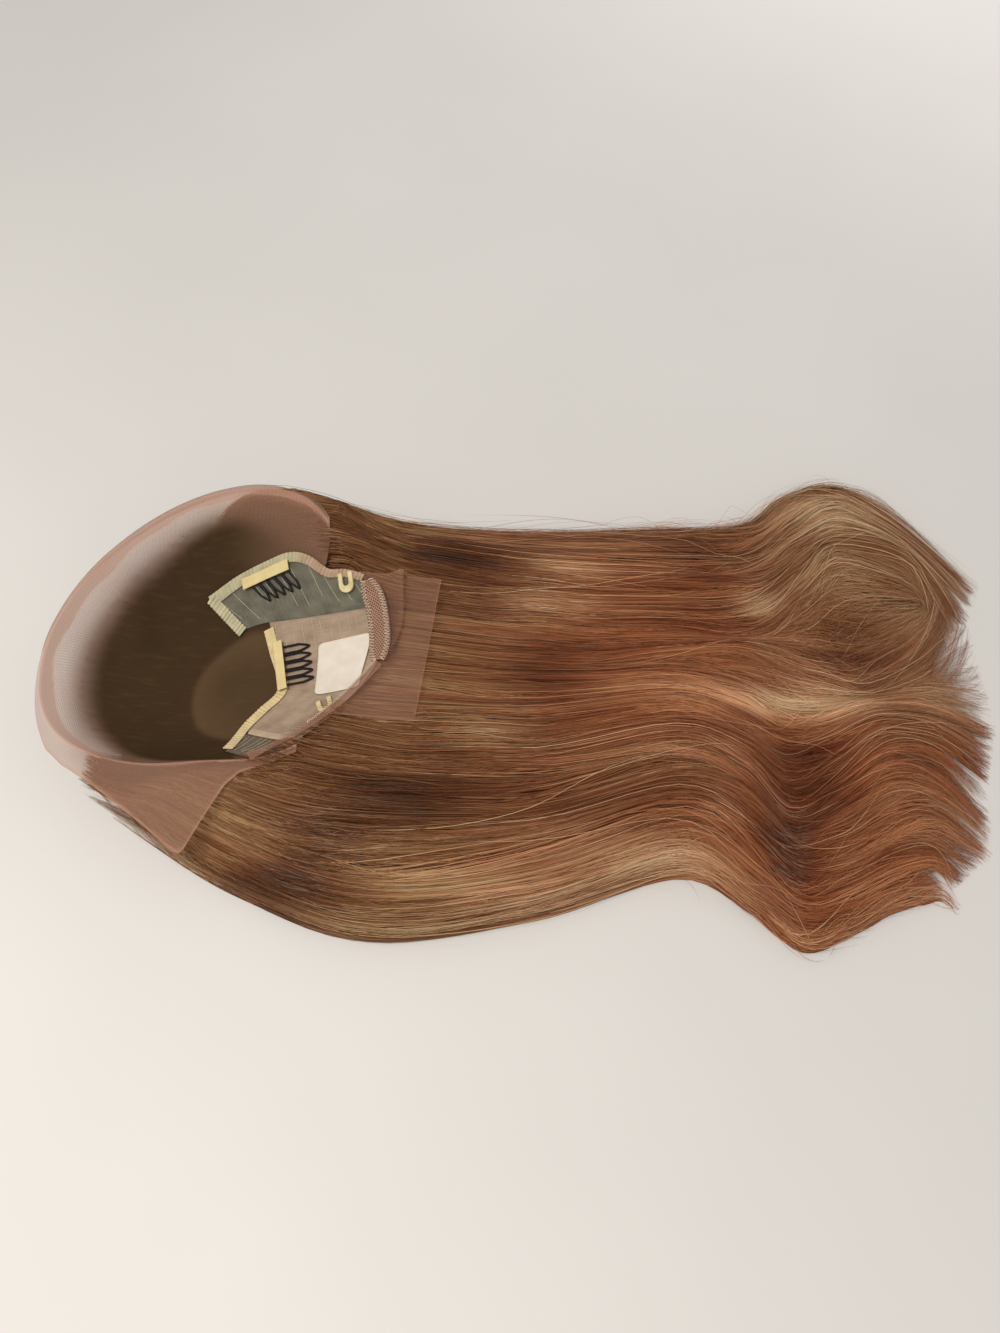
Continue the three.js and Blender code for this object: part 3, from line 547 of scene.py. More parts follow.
class Shader:
    """A material with a Principled shader, and short calls to add nodes to it."""

    def __init__(self, name, roughness, specular):
        self.material = bpy.data.materials.new(name)
        self.material.use_nodes = True
        self.tree = self.material.node_tree
        self.surface = self.tree.nodes["Principled BSDF"]
        self.set("Roughness", roughness)
        self.set("Specular IOR Level", specular)

    def node(self, kind, inputs=None, **settings):
        made = self.tree.nodes.new(kind)
        for key, value in settings.items():
            setattr(made, key, value)
        for key, value in (inputs or {}).items():
            self.join(value, made.inputs[key])
        return made

    def join(self, value, socket):
        if isinstance(value, bpy.types.NodeSocket):
            self.tree.links.new(value, socket)
        else:
            socket.default_value = value

    def set(self, name, value):
        self.join(value, self.surface.inputs[name])

    def math(self, operation, a, b=0.0):
        return self.node("ShaderNodeMath", {0: a, 1: b}, operation=operation).outputs[0]

    def weighted(self, *parts):
        """The sum of values, each times its weight."""
        made = [self.math("MULTIPLY", value, weight) for value, weight in parts]
        total = made[0]
        for part in made[1:]:
            total = self.math("ADD", total, part)
        return total

    def blend(self, share, first, second):
        return self.node("ShaderNodeMix", {0: share, 6: first, 7: second}, data_type="RGBA").outputs[2]

    def uv(self):
        return self.node("ShaderNodeUVMap", uv_map="UVMap").outputs["UV"]

    def place(self):
        return self.node("ShaderNodeTexCoord").outputs["Object"]

    def attribute(self, name, output):
        return self.node("ShaderNodeAttribute", attribute_name=name).outputs[output]

    def scaled(self, vector, x, y):
        return self.node("ShaderNodeMapping", {"Vector": vector, "Scale": (x, y, 1.0)}).outputs[0]

    def noise(self, vector, scale, detail=3.0):
        inputs = {"Vector": vector, "Scale": scale, "Detail": detail}
        return self.node("ShaderNodeTexNoise", inputs).outputs[0]

    def ramp(self, value, stops):
        """A colour ramp: stops are (place, colour in 0 to 255)."""
        made = self.node("ShaderNodeValToRGB", {0: value})
        while len(made.color_ramp.elements) < len(stops):
            made.color_ramp.elements.new(0.5)
        for element, (place, colour) in zip(made.color_ramp.elements, stops):
            element.position = place
            element.color = (*linear(*colour), 1)
        return made.outputs[0]

    def mottle(self, vector, scale, detail, stops):
        """Colours the surface by a noise, and gives the noise."""
        noise = self.noise(vector, scale, detail)
        self.set("Base Color", self.ramp(noise, stops))
        return noise

    def range(self, value, low, high, to_low, to_high):
        inputs = {0: value, 1: low, 2: high, 3: to_low, 4: to_high}
        return self.node("ShaderNodeMapRange", inputs, interpolation_type="SMOOTHSTEP").outputs[0]

    def wave(self, vector, direction, pitch):
        """A cosine along a direction of the vector, one turn each pitch in metres."""
        k = 2 * math.pi / pitch
        way = (direction[0] * k, direction[1] * k, 0)
        dot = self.node("ShaderNodeVectorMath", {0: vector, 1: way}, operation="DOT_PRODUCT")
        return self.math("COSINE", dot.outputs["Value"])

    def bump(self, height, distance, strength=0.5):
        inputs = {"Height": height, "Distance": distance, "Strength": strength}
        self.set("Normal", self.node("ShaderNodeBump", inputs).outputs[0])


NET_CELL, BAND_CELL = 1.1 * MM, 1.5 * MM
KNOTS_AND_SHADE_COVER = 0.72
LIT_FOLD_COLOUR = linear(108, 86, 62)
HEX_WAYS = [(1, 0), (0.5, math.sqrt(3) / 2), (-0.5, math.sqrt(3) / 2)]


def net_of(shader, uv, cell):
    """Threads of a net of round holes set in a honeycomb: 1 on a thread and 0 in a hole."""
    pitch = cell * math.sqrt(3) / 2
    first, second, third = [shader.wave(uv, way, pitch) for way in HEX_WAYS]
    total = shader.math("ADD", shader.math("ADD", first, second), third)
    return shader.range(total, -0.7, 0.1, 1.0, 0.0)


def lace_material(name, dark, pale, thread, film):
    """Sheer net, denser where it is folded and darker where single, that darker colour painted shade;
    dark where hair is knotted behind it, which also paints the bowl's shade; paler on its raised folds,
    painted light.
    """
    shader = Shader(name, 0.9, 0.04)
    uv = shader.uv()
    net = net_of(shader, uv, NET_CELL)
    body = shader.attribute("body", "Fac")
    streak = shader.noise(shader.scaled(uv, 60.0, 260.0), 1.0, 5.0)
    cloud = shader.math("MULTIPLY", shader.math("SUBTRACT", streak, 0.5), 0.3)
    # The knots' dark browns, which also paint the shade inside the bowl
    root = shader.ramp(streak, [(0.3, (56, 42, 27)), (0.7, (76, 58, 39))])
    knots_and_shade = shader.attribute("knots_and_shade", "Fac")
    knots_and_shade = shader.math("MULTIPLY", knots_and_shade, shader.math("ADD", cloud, 1.0))
    # Darker where the lace is single: painted shade
    cloth = shader.ramp(body, [(0.4, dark), (1.0, pale)])
    colour = shader.blend(knots_and_shade, cloth, root)
    # Painted light on the lace's raised folds
    colour = shader.blend(shader.attribute("fold", "Fac"), colour, (*LIT_FOLD_COLOUR, 1))
    shader.set("Base Color", colour)
    cover = shader.math("MULTIPLY", shader.range(net, 0.0, 1.0, film, thread), body)
    cover = shader.math("ADD", cover, shader.math("MULTIPLY", knots_and_shade, KNOTS_AND_SHADE_COVER))
    shader.set("Alpha", shader.math("MINIMUM", cover, 1.0))
    return shader.material


def weft_material(name, dark, pale, rib):
    """Close-set weft net: fine ribs across, a soft mottle, and hair showing through."""
    shader = Shader(name, 0.8, 0.2)
    uv = shader.uv()
    mottle = shader.noise(uv, 90.0, 5.0)
    ribs = shader.math("ABSOLUTE", shader.wave(uv, (1, 0), rib))
    weave = shader.noise(shader.scaled(uv, 900.0, 120.0), 1.0)
    tone = shader.weighted((mottle, 0.6), (ribs, 0.16), (weave, 0.28))
    shader.set("Base Color", shader.ramp(tone, [(0.32, dark), (0.68, pale)]))
    shader.bump(shader.math("ADD", ribs, weave), 0.25 * MM)
    shader.set("Sheen Weight", 0.1)
    return shader.material


# The far tape turns from pale cream to pinkish tan on its way to the nape
TAPE_TURNS_FROM, TAPE_TURNS_TO = 36, 56


def tape_material(name, dark, pale, weave_step, nape_colours=None):
    """Woven tape: a plain weave, painted paler on the ridges of its gathers as light falls there, and of
    other colours by the nape.
    """
    shader = Shader(name, 0.7, 0.25)
    uv = shader.uv()
    warp, filling = [shader.wave(uv, way, weave_step) for way in ((1, 0), (0, 1))]
    weave = shader.math("MULTIPLY", warp, filling)
    mottle = shader.noise(uv, 160.0, 4.0)
    ridge_light = shader.attribute("body", "Fac")
    tone = shader.weighted((ridge_light, 0.34), (mottle, 0.6), (weave, 0.06))
    colour = shader.ramp(tone, [(0.2, dark), (0.75, pale)])
    if nape_colours:
        x = shader.node("ShaderNodeSeparateXYZ", {0: shader.place()}).outputs["X"]
        share = shader.range(x, TAPE_TURNS_FROM * MM, TAPE_TURNS_TO * MM, 0.0, 1.0)
        turned = shader.ramp(tone, [(0.2, nape_colours[0]), (0.75, nape_colours[1])])
        colour = shader.blend(share, colour, turned)
    shader.set("Base Color", colour)
    shader.bump(weave, 0.12 * MM, 0.35)
    shader.set("Sheen Weight", 0.2)
    return shader.material


def label_material():
    """Smooth close-woven satin with a faint rib."""
    shader = Shader("label_satin", 0.5, 0.35)
    uv = shader.uv()
    shader.mottle(uv, 120.0, 4.0, [(0.3, (230, 218, 202)), (0.7, (242, 233, 220))])
    shader.bump(shader.wave(uv, (0, 1), 0.45 * MM), 0.05 * MM, 0.3)
    return shader.material


def band_material():
    """Pinkish brown stretch mesh, the hair behind it showing as darker holes."""
    shader = Shader("band_mesh", 0.8, 0.2)
    uv = shader.uv()
    net = net_of(shader, uv, BAND_CELL)
    mottle = shader.noise(uv, 140.0, 4.0)
    tone = shader.weighted((net, 0.6), (mottle, 0.4))
    shader.set("Base Color", shader.ramp(tone, [(0.2, (92, 62, 47)), (0.8, (184, 146, 122))]))
    shader.bump(net, 0.2 * MM)
    return shader.material


def thread_material(name, dark, pale):
    shader = Shader(name, 0.6, 0.3)
    shader.mottle(shader.place(), 900.0, 3.0, [(0.3, dark), (0.7, pale)])
    return shader.material


def wire_material():
    """Black coated wire, its coating a little worn to brown."""
    shader = Shader("comb_coating", 0.5, 0.3)
    wear = shader.mottle(shader.place(), 420.0, 5.0, [(0.45, (12, 10, 9)), (0.75, (34, 28, 24))])
    shader.set("Roughness", shader.range(wear, 0.3, 0.8, 0.45, 0.65))
    return shader.material


def hook_material():
    """Cream moulded plastic with a soft mottle and a fine moulded grain."""
    shader = Shader("hook_plastic", 0.38, 0.45)
    place = shader.place()
    shader.mottle(place, 220.0, 4.0, [(0.3, (214, 192, 132)), (0.7, (238, 224, 176))])
    shader.bump(shader.noise(place, 1500.0), 0.05 * MM, 0.4)
    shader.set("Subsurface Weight", 0.15)
    shader.set("Subsurface Radius", (0.002, 0.0015, 0.001))
    return shader.material


HAIR_GLOSS = (1.0, 0.82, 0.64, 1.0)


def strand_material():
    """Satin hair: each strand's colour along its length, with painted light and shade in it."""
    shader = Shader("hair_strand", 0.42, 0.42)
    shader.set("Base Color", shader.attribute("tint", "Color"))
    shader.set("Specular Tint", HAIR_GLOSS)
    shader.set("Sheen Weight", 0.12)
    shader.set("Sheen Tint", HAIR_GLOSS)
    return shader.material


def mass_material():
    """Hair below the top strands: fine streaks along the flow in the same browns."""
    shader = Shader("hair_mass", 0.55, 0.3)
    uv = shader.uv()
    fine = shader.noise(shader.scaled(uv, 12.0, 900.0), 1.0, 4.0)
    broad = shader.noise(shader.scaled(uv, 5.0, 140.0), 1.0, 3.0)
    streak = shader.weighted((fine, 0.6), (broad, 0.4))
    colour = shader.ramp(streak, [(0.35, (38, 24, 15)), (0.55, (84, 56, 36)), (0.7, (126, 90, 60))])
    shader.set("Base Color", colour)
    shader.bump(fine, 0.6 * MM, 0.8)
    return shader.material


# Hair

TONE_STOPS = [-1.0, -0.45, 0.0, 0.45, 1.0]
# The darker browns are redder than the hair itself: painted red reflected light
TONE_BROWNS = [(46, 22, 10), (108, 55, 29), (154, 98, 62), (200, 154, 115), (236, 207, 168)]
TONE_COLOURS = np.array([linear(*brown) for brown in TONE_BROWNS])
# What ashy and coppery hair does to a colour
PLAIN_BROWN = linear(150, 104, 74)
ASH = linear(146, 114, 80) / PLAIN_BROWN
COPPER = linear(160, 96, 62) / PLAIN_BROWN
# Painted highlights where the hair's waves catch the light and painted shade in their hollows, with some
# lighter and darker streaks of the hair itself; by middle, half lengths and change of tone
LIT_AND_SHADED_PLACES = [
    (194, 38, 36, 17, 0.5),
    (204, 64, 34, 13, 0.72),
    (156, -54, 30, 14, 0.42),
    (348, -24, 46, 14, 0.6),
    (319, -106, 36, 12, -0.2),
    (332, -148, 42, 12, -0.28),
    (288, -22, 62, 14, 0.32),
    (265, -58, 36, 9, 0.22),
    (250, -120, 70, 16, 0.5),
    (165, -140, 70, 14, 0.42),
    (325, 46, 18, 13, 0.5),
    (378, 120, 46, 26, 0.5),
    (385, 78, 36, 10, 0.3),
    (385, 62, 34, 13, 0.28),
    (422, 42, 22, 26, 0.26),
    (430, -10, 26, 22, 0.3),
    (392, -52, 26, 30, 0.05),
    (410, -96, 36, 22, 0.16),
    (158, 40, 18, 12, -0.24),
    (220, 12, 34, 14, -0.24),
    (138, 66, 44, 18, -0.62),
    (190, -12, 32, 24, -0.56),
    (138, -12, 26, 22, -0.24),
    (132, -68, 24, 12, -0.25),
    (300, -42, 40, 10, -0.2),
    (338, -58, 42, 14, -0.34),
    (340, -84, 36, 28, -0.52),
    (325, -118, 22, 24, -0.5),
    (290, 66, 26, 10, -0.25),
    (292, 90, 38, 14, -0.42),
    (285, 32, 44, 14, -0.3),
    (275, -84, 50, 14, -0.26),
    (372, 8, 34, 7, -0.5),
    (385, 36, 30, 12, -0.16),
    (46, -134, 46, 14, -0.8),
    (68, -146, 36, 10, -0.4),
    (302, -113, 30, 16, -0.3),
    (330, -130, 24, 14, -0.3),
    (70, -118, 34, 12, -0.34),
    (205, -94, 60, 12, -0.3),
    (110, -99, 54, 17, -0.6),
]
TONE_SPREAD = 0.75
# Tone of hair under the cap, painted shade there together with its darker roots, and how far outside the
# cap's edge that begins and over what length
CAP_SHADE_TONE, UNDER_MARGIN, UNDER_BLUR = -0.84, 4, 12
# Gap between strands and lace, more in the bowl from this far inside the edge and over this length
STRAND_GAP, BOWL_GAP, BOWL_FROM, BOWL_OVER = 2.0, 6.0, 8, 30
PAST_STEP, BESIDE_STEP = 0.015, 0.06
DEPTH_SHADE, STRAND_TWIST = 0.05, 0.55
# Least heights of a strand's edges and of its middle line over the table
EDGE_FLOOR, LINE_FLOOR = 0.25, 0.6


# Painted highlights and shade of the hair, with its own streaks, at plan points
def painted_light_at(x, y):
    tone = np.zeros_like(x)
    for *oval, change in LIT_AND_SHADED_PLACES:
        tone = tone + change * (1 - smooth(away(x, y, *oval) * TONE_SPREAD))
    return tone


def waves(rng, count, t, sizes, turns):
    """Seeded smooth wanderings along t, a row for each of count lines."""
    total = np.zeros((count, t.shape[-1]))
    for size, turn in zip(sizes, turns):
        phase = rng.uniform(0, 2 * np.pi, (count, 1))
        pace = turn * rng.uniform(0.7, 1.3, (count, 1))
        total += size * rng.normal(0, 1, (count, 1)) * np.sin(2 * np.pi * pace * t + phase)
    return total


def colour_of(tone, x, y, hue):
    """Colour from a tone, ashier by the cap and the far curl, warmer in the middle and the near waves."""
    tone = np.clip(tone, -1, 1)
    rgb = np.stack([np.interp(tone, TONE_STOPS, TONE_COLOURS[:, k]) for k in range(3)], axis=-1)
    by_cap = ease(x, 195, 85)
    far_curl = ease(x, 320, 380) * ease(y, 20, 60)
    middle = ease(x, 160, 230) * ease(x, 345, 285) * ease(y, -70, -30) * ease(y, 95, 55)
    near_waves = ease(x, 230, 340) * ease(y, -10, -60)
    ash = np.clip(0.8 * by_cap + 0.25 * far_curl + 0.3 * hue, 0, 1)[..., None]
    copper = np.clip(0.6 * np.maximum(middle, near_waves) - 0.3 * hue, 0, 1)[..., None]
    return rgb * (1 + ash * (ASH - 1)) * (1 + copper * (COPPER - 1))


def in_bowl(x, y):
    """1 under the cap's bowl, falling to 0 outside its edge."""
    angle = np.arctan2(y, x)
    edge = np.minimum(cap_value(REACH, angle), lace_end(angle))
    return smooth((edge + UNDER_MARGIN - np.hypot(x, y)) / UNDER_BLUR)


def ribbons(paths, beside, widths, roll, tints):
    """Flat strands along paths (strand, place, 3), each turned about its line by its roll."""
    along = unit(np.gradient(paths, axis=1))
    normal = unit(np.cross(along, unit(beside - paths)))
    side = np.cross(normal, along)
    half = 0.5 * widths[..., None] * (np.cos(roll)[..., None] * side + np.sin(roll)[..., None] * normal)
    count, places = paths.shape[:2]
    points = np.stack([paths - half, paths + half], axis=2).reshape(-1, 3)
    points[:, 2] = np.maximum(points[:, 2], EDGE_FLOOR)
    a = (np.arange(count)[:, None] * places * 2 + np.arange(places - 1)[None, :] * 2).ravel()
    faces = np.stack([a, a + 2, a + 3, a + 1], axis=1)
    return points, faces, np.repeat(tints.reshape(-1, 3), 2, axis=0)


def lay_strands(s, t, depth):
    """Places of strands on the hair at s and t, a depth below its top, kept under the lace."""
    base = np.minimum(t, 1)
    x, y, z = hair_top(s, base)
    if np.any(t > 1):
        before_x, before_y, _ = hair_top(s, np.full_like(t, 1 - PAST_STEP))
        past = (t - base) / PAST_STEP
        x = x + past * (x - before_x)
        y = y + past * (y - before_y)
    edge = cap_value(REACH, np.arctan2(y, x))
    inside = smooth((edge - BOWL_FROM - np.hypot(x, y)) / BOWL_OVER)
    lid = lid_at(x, y) - STRAND_GAP - 0.35 * np.maximum(depth, 0) - BOWL_GAP * inside
    z = np.maximum(np.minimum(z - depth, lid), LINE_FLOOR)
    return np.stack([x, y, z], axis=-1)


# The under layer of clumps lies deeper and has a darker tone: painted shade below the top strands
TOP_CLUMPS, UNDER_CLUMPS, UNDER_DEPTH, UNDER_LAYER_SHADE = 168, 32, 2.4, -0.22
# How much sooner the strands end in the far curl, and where they begin along the front
CURL_SHORT, FRONT_EDGE = 0.1, 0.026
# The guide in the middle of the far curl, and the one where it lies most apart from the rest
CURL_GUIDE, CURL_GAP = 6.5, 6.3
# Clumps: width, height of the middle over the sides, and depth below the hair's top
CLUMP_WIDTH, CLUMP_RELIEF, CLUMP_LAYER = (3.5, 9), (0.6, 2.4), (0, 2.0)
# Wanderings by their sizes and turns: of a clump, of a strand sideways and of a strand in depth
CLUMP_WANDER = ((0.2, 0.1), (0.8, 2.0))
STRAND_STRAY = ((0.5, 0.3), (1.5, 4.0))
STRAND_SWAY = ((0.35,), (2.0,))
# Where clumps end along the hair, and how much sooner at random and at the near side
TIP_LAST, TIP_UNEVEN, TIP_NEAR = 1.02, 0.11, 0.08
SUB_CLUMPS, SUB_STRANDS, CLUMPED_WIDTH = 7, 8, (0.26, 0.5)
STRAND_PLACES, SHORT_PLACES = 30, 15
STRANDS_A_PIECE = 3200
# Shares along a short strand
SHORT_WAY = np.linspace(0, 1, SHORT_PLACES)[None, :]
HUE_SPREAD = 0.3


def clump_places():
    """Shares of the clumps over s, more of them where the guides lie far apart at the curls."""
    s = np.linspace(-0.44, GUIDES - 0.56, 111)
    side = np.minimum(s - NEAR_EDGE, FAR_EDGE - s)
    weight = 1 + 1.6 * smooth(1 - np.abs(s - CURL_GAP) / 1.5) + 0.9 * smooth((0.6 - side) / 0.4)
    shares = np.concatenate([[0], np.cumsum(0.5 * (weight[1:] + weight[:-1]))])
    return shares / shares[-1], s


def clumped_strands(rng, clumps, deep, tone_shift):
    """Strands in clumps that wander over the hair's top, each clump rounded and drawn in at its tip."""
    path = np.linspace(0, 1, STRAND_PLACES)[None, :]
    u = path**0.92
    shares = (rng.permutation(clumps) + rng.uniform(0, 1, clumps)) / clumps
    middle = np.interp(shares, *clump_places())[:, None]
    each = (clumps, 1)
    start = 0.16 * rng.uniform(0, 1, each)
    end = TIP_LAST - TIP_UNEVEN * rng.uniform(0, 1, each) ** 1.4 - TIP_NEAR * smooth((0.7 - middle) / 1.1)
    end = end - CURL_SHORT * smooth((0.42 - np.abs(middle - CURL_GUIDE)) / 0.2)
    wander = waves(rng, clumps, path, *CLUMP_WANDER)
    width = rng.uniform(*CLUMP_WIDTH, each)
    relief = rng.uniform(*CLUMP_RELIEF, each)
    layer = deep + rng.uniform(*CLUMP_LAYER, each)
    clump_tone = rng.normal(0, 1, (clumps, 1, 1))
    hue = rng.normal(0, 0.5, each)
    gather = rng.uniform(-0.5, 0.5, each)
    shape = (clumps, SUB_CLUMPS, SUB_STRANDS)
    sub_place = rng.uniform(-1, 1, (clumps, SUB_CLUMPS, 1))
    sub_tone = rng.normal(0, 1, (clumps, SUB_CLUMPS, 1))
    across = (sub_place + rng.normal(0, 0.1, shape)).reshape(-1, 1)
    tone = (0.1 * clump_tone + 0.1 * sub_tone + 0.1 * rng.normal(0, 1, shape)).reshape(-1, 1)
    count = len(tone)
    owner = np.repeat(np.arange(clumps), count // clumps)
    of_clumps = (middle, start, end, wander, width, relief, layer, hue, gather)
    middle, start, end, wander, width, relief, layer, hue, gather = [value[owner] for value in of_clumps]
    each = (count, 1)
    late = 0.05 * smooth((0.9 - middle) / 1.3) * rng.uniform(0, 1, each)
    late = late + FRONT_EDGE * smooth((middle - 1.6) / 0.8)
    first = np.clip(0.3 * start + 0.06 * rng.uniform(0, 1, each) + late, 0.002, 1)
    last = np.clip(end - 0.05 * rng.exponential(0.8, each), 0.7, 1.03)
    t = first + (last - first) * u
    tight = 1 - gather * smooth((u - 0.72) / 0.28)
    stray = waves(rng, count, u, *STRAND_STRAY) * (0.4 + 2.4 * u**4)
    s = middle + wander + (across * width * tight + stray) / GUIDE_SPACING
    s = np.clip(s, NEAR_EDGE, FAR_EDGE)
    depth = layer + relief * across**2 * tight
    depth = depth + rng.uniform(0, 1.3, each) + waves(rng, count, u, *STRAND_SWAY)
    return finish_strands(rng, s, t, depth, tone + tone_shift, hue, CLUMPED_WIDTH)


def finish_strands(rng, s, t, depth, tone, hue, width_range, move=None, cap_shade=1.0):
    """Ribbons at s and t: move shifts them off the hair, and the last argument is how much painted shade
    they take under the cap.
    """
    paths = lay_strands(s, t, depth)
    beside = lay_strands(s + BESIDE_STEP, t, depth)
    if move is not None:
        shift = move(paths)
        paths = paths + shift
        beside = beside + shift
    count, places = s.shape
    x, y = paths[..., 0], paths[..., 1]
    share = np.linspace(0, 1, places)[None, :]
    # The tone gets painted light and shade: lit and shaded places, and darker strands lying deeper. It is
    # also darker towards the front, and painted lighter at the tips against the shade where the ends pile up
    shade = tone + painted_light_at(x, y) - DEPTH_SHADE * depth + waves(rng, count, share, (0.07,), (2.5,))
    shade = shade - 0.1 * ease(x, 130, 30) + 0.06 * ease(x, 300, 420)
    # Painted shade under the cap, together with the darker roots there
    bowl = cap_shade * in_bowl(x, y)
    shade = shade * (1 - 0.8 * bowl) + CAP_SHADE_TONE * bowl
    tints = colour_of(shade, x, y, hue)
    taper = (1 - 0.7 * smooth((share - 0.8) / 0.2)) * (0.3 + 0.7 * smooth(share / 0.08))
    widths = rng.uniform(*width_range, (count, 1)) * taper
    roll = rng.normal(0, STRAND_TWIST, (count, 1)) + 0.5 * waves(rng, count, share, (1.0,), (0.7,))
    return ribbons(paths, beside, np.broadcast_to(widths, s.shape), roll, tints)


def aside(paths, side, up):
    """A shift of strands sideways from their own lines and up."""
    along = unit(np.gradient(paths, axis=1))
    return np.stack([-along[..., 1] * side, along[..., 0] * side, up], axis=-1)


FRINGE_STEPS, FRINGE_WIDTH = 160, (0.24, 0.44)
# Where hair comes up over an edge of the cap: line, range of s, range of t, strands, lift over the cap
NEAR_FRINGE = (ROLL_LINE, (0.9, 4.0), (0.06, 0.26), 420, 3.6)
FAR_FRINGE = (FAR_FRINGE_LINE, (6.7, 9.6), (0.1, 0.26), 380, 0.5)


def edge_fringe(rng, line, s_range, t_range, count, lift):
    """Hair that comes up over an edge of the cap and falls back on the rest."""
    over = curve(line, FRINGE_STEPS)
    rows = np.linspace(*s_range, FRINGE_STEPS)
    s = np.repeat(rows[:, None], FRINGE_STEPS, axis=1)
    t = np.repeat(np.linspace(*t_range, FRINGE_STEPS)[None, :], FRINGE_STEPS, axis=0)
    x, y, _ = hair_top(s, t)
    gap = np.hypot(x[..., None] - over[:, 0], y[..., None] - over[:, 1]).min(axis=-1)
    meets = t[0, gap.argmin(axis=1)]
    u, each = SHORT_WAY, (count, 1)
    start_s = rng.uniform(*s_range, each)
    first = np.interp(start_s, rows, meets) - rng.uniform(-0.006, 0.016, each)
    t = first + rng.uniform(0.05, 0.2, each) * u
    s = start_s + waves(rng, count, u, (0.05, 0.03), (1.0, 2.5)) * u
    depth = -rng.uniform(0.2, 1.4, each) * np.ones_like(u)

    def rise(paths):
        x, y = paths[..., 0], paths[..., 1]
        reach = cap_value(REACH, np.arctan2(y, x))
        near = smooth((reach + 9 - np.hypot(x, y)) / 14)
        up = np.maximum(cap_height(x, y) + lift - paths[..., 2], 0) * near
        return np.stack([np.zeros_like(x), np.zeros_like(x), up], axis=-1)

    tone = rng.normal(-0.24, 0.16, each)
    hue = rng.normal(0, HUE_SPREAD, each)
    return finish_strands(rng, s, t, depth, tone, hue, FRINGE_WIDTH, rise, 0.0)


WALL_STRANDS, WALL_FAR, WALL_DEPTH, WALL_WIDTH = 620, 0.62, 1.5, (0.4, 0.8)


def wall_strands(rng):
    """Hair on the steep sides: it falls from the cap's edge and sweeps back along the table."""
    u, each = SHORT_WAY, (WALL_STRANDS, 1)
    far = rng.random(each) < WALL_FAR
    s = np.where(far, FAR_WALL, NEAR_WALL) + 0 * u
    first = np.where(far, 0.0, 0.12) + 0.7 * rng.uniform(0, 1, each) ** 1.6
    t = np.minimum(first + rng.uniform(0.08, 0.26, each) * u, 0.98)
    high = rng.uniform(0.1, 1.0, each)
    share = high * (1 - rng.uniform(0.1, 0.8, each) * smooth(u))
    out = rng.uniform(0.4, 2.2, each) + waves(rng, WALL_STRANDS, u, (0.4,), (1.2,))

    def fall(paths):
        return aside(paths, np.where(far, 1.0, -1.0) * out, (share - 1) * paths[..., 2])

    tone = rng.normal(-0.1, 0.2, each)
    hue = rng.normal(0, HUE_SPREAD, each)
    return finish_strands(rng, s, t, np.full_like(t, WALL_DEPTH), tone, hue, WALL_WIDTH, fall, 0.0)


# The front strands take part of the painted shade under the cap
FRONT_STRANDS, FRONT_CORNER, FRONT_WIDTH, FRONT_CAP_SHADE = 900, 0.68, (0.28, 0.46), 0.6
# Ranges of s at the near corner and along the front, the strands' depth and their dip at the table
CORNER_S, FRONT_S, FRONT_DEPTH, FRONT_DIP = (0.45, 2.2), (0.5, 10.3), 1.5, 9


def front_strands(rng):
    """Hair at the front under the cap: its soft edge lies on the table and rises to the rest."""
    u, each = SHORT_WAY, (FRONT_STRANDS, 1)
    corner = rng.random(each) < FRONT_CORNER
    corner_s = rng.uniform(*CORNER_S, each)
    start_s = np.where(corner, corner_s, rng.uniform(*FRONT_S, each))
    first = 0.055 * rng.uniform(0, 1, each)
    first = np.where(corner, first, FRONT_EDGE + 0.6 * first)
    t = first + rng.uniform(0.07, 0.2, each) * u
    outward = np.where(corner, rng.uniform(0.1, 1.5, each), 0.0) * smooth(u / 0.55)
    stray = waves(rng, FRONT_STRANDS, u, (0.06, 0.04), (0.8, 2.0))
    s = np.clip(start_s - outward + stray, NEAR_EDGE, FAR_EDGE)
    depth = rng.uniform(0, FRONT_DEPTH, each) + FRONT_DIP * (1 - smooth(u / 0.5))
    tone = rng.normal(0.14, 0.18, each) + 0 * u
    hue = rng.normal(0, HUE_SPREAD, each)
    return finish_strands(rng, s, t, depth, tone, hue, FRONT_WIDTH, None, FRONT_CAP_SHADE)


ROOT_STRANDS, ROOT_LENGTH, ROOT_WIDTH = 700, (50, 90), (0.3, 0.6)
ROOT_FROM, ROOT_TO = math.radians(70), math.radians(290)
# Gap between roots and lace: the least, how much more at random, and how much more at their ends
ROOT_GAP, ROOT_UNEVEN, ROOT_SINK = 0.6, 1.4, 3.5


def root_strands(rng):
    """Hair knotted into the front of the lace, which runs back along the outside of its bowl."""
    u, each = SHORT_WAY, (ROOT_STRANDS, 1)
    angle = rng.uniform(ROOT_FROM, ROOT_TO, each)
    far_in = rng.uniform(0.5, 1.5, each)
    distance = cap_value(REACH, angle) - cap_value(BARE, angle) - far_in * cap_value(FADE, angle)
    length = rng.uniform(*ROOT_LENGTH, each)
    x = distance * np.cos(angle) + length * u
    y = distance * np.sin(angle) * (1 - 0.18 * u) + waves(rng, ROOT_STRANDS, u, (1.2,), (1.0,))
    gap = ROOT_GAP + rng.uniform(0, ROOT_UNEVEN, each) + ROOT_SINK * smooth(u)
    paths = on_cap(np.stack([x, y], axis=-1), -gap)
    beside = on_cap(np.stack([x, y + 1.5], axis=-1), -gap)
    tone = rng.normal(-0.5, 0.16, each) + 0 * u
    tints = colour_of(tone, x, y, rng.normal(0, HUE_SPREAD, each))
    widths = rng.uniform(*ROOT_WIDTH, each) * (0.3 + 0.7 * smooth(u / 0.1))
    return ribbons(paths, beside, widths, rng.normal(0, 0.4, each) + 0 * u, tints)


WISPS, WISPS_FAR, WISPS_FREE, WISP_WIDTH = 620, 0.55, 0.5, (0.14, 0.26)
WISP_OFF, WISP_LIFT = 2.6, 1.8


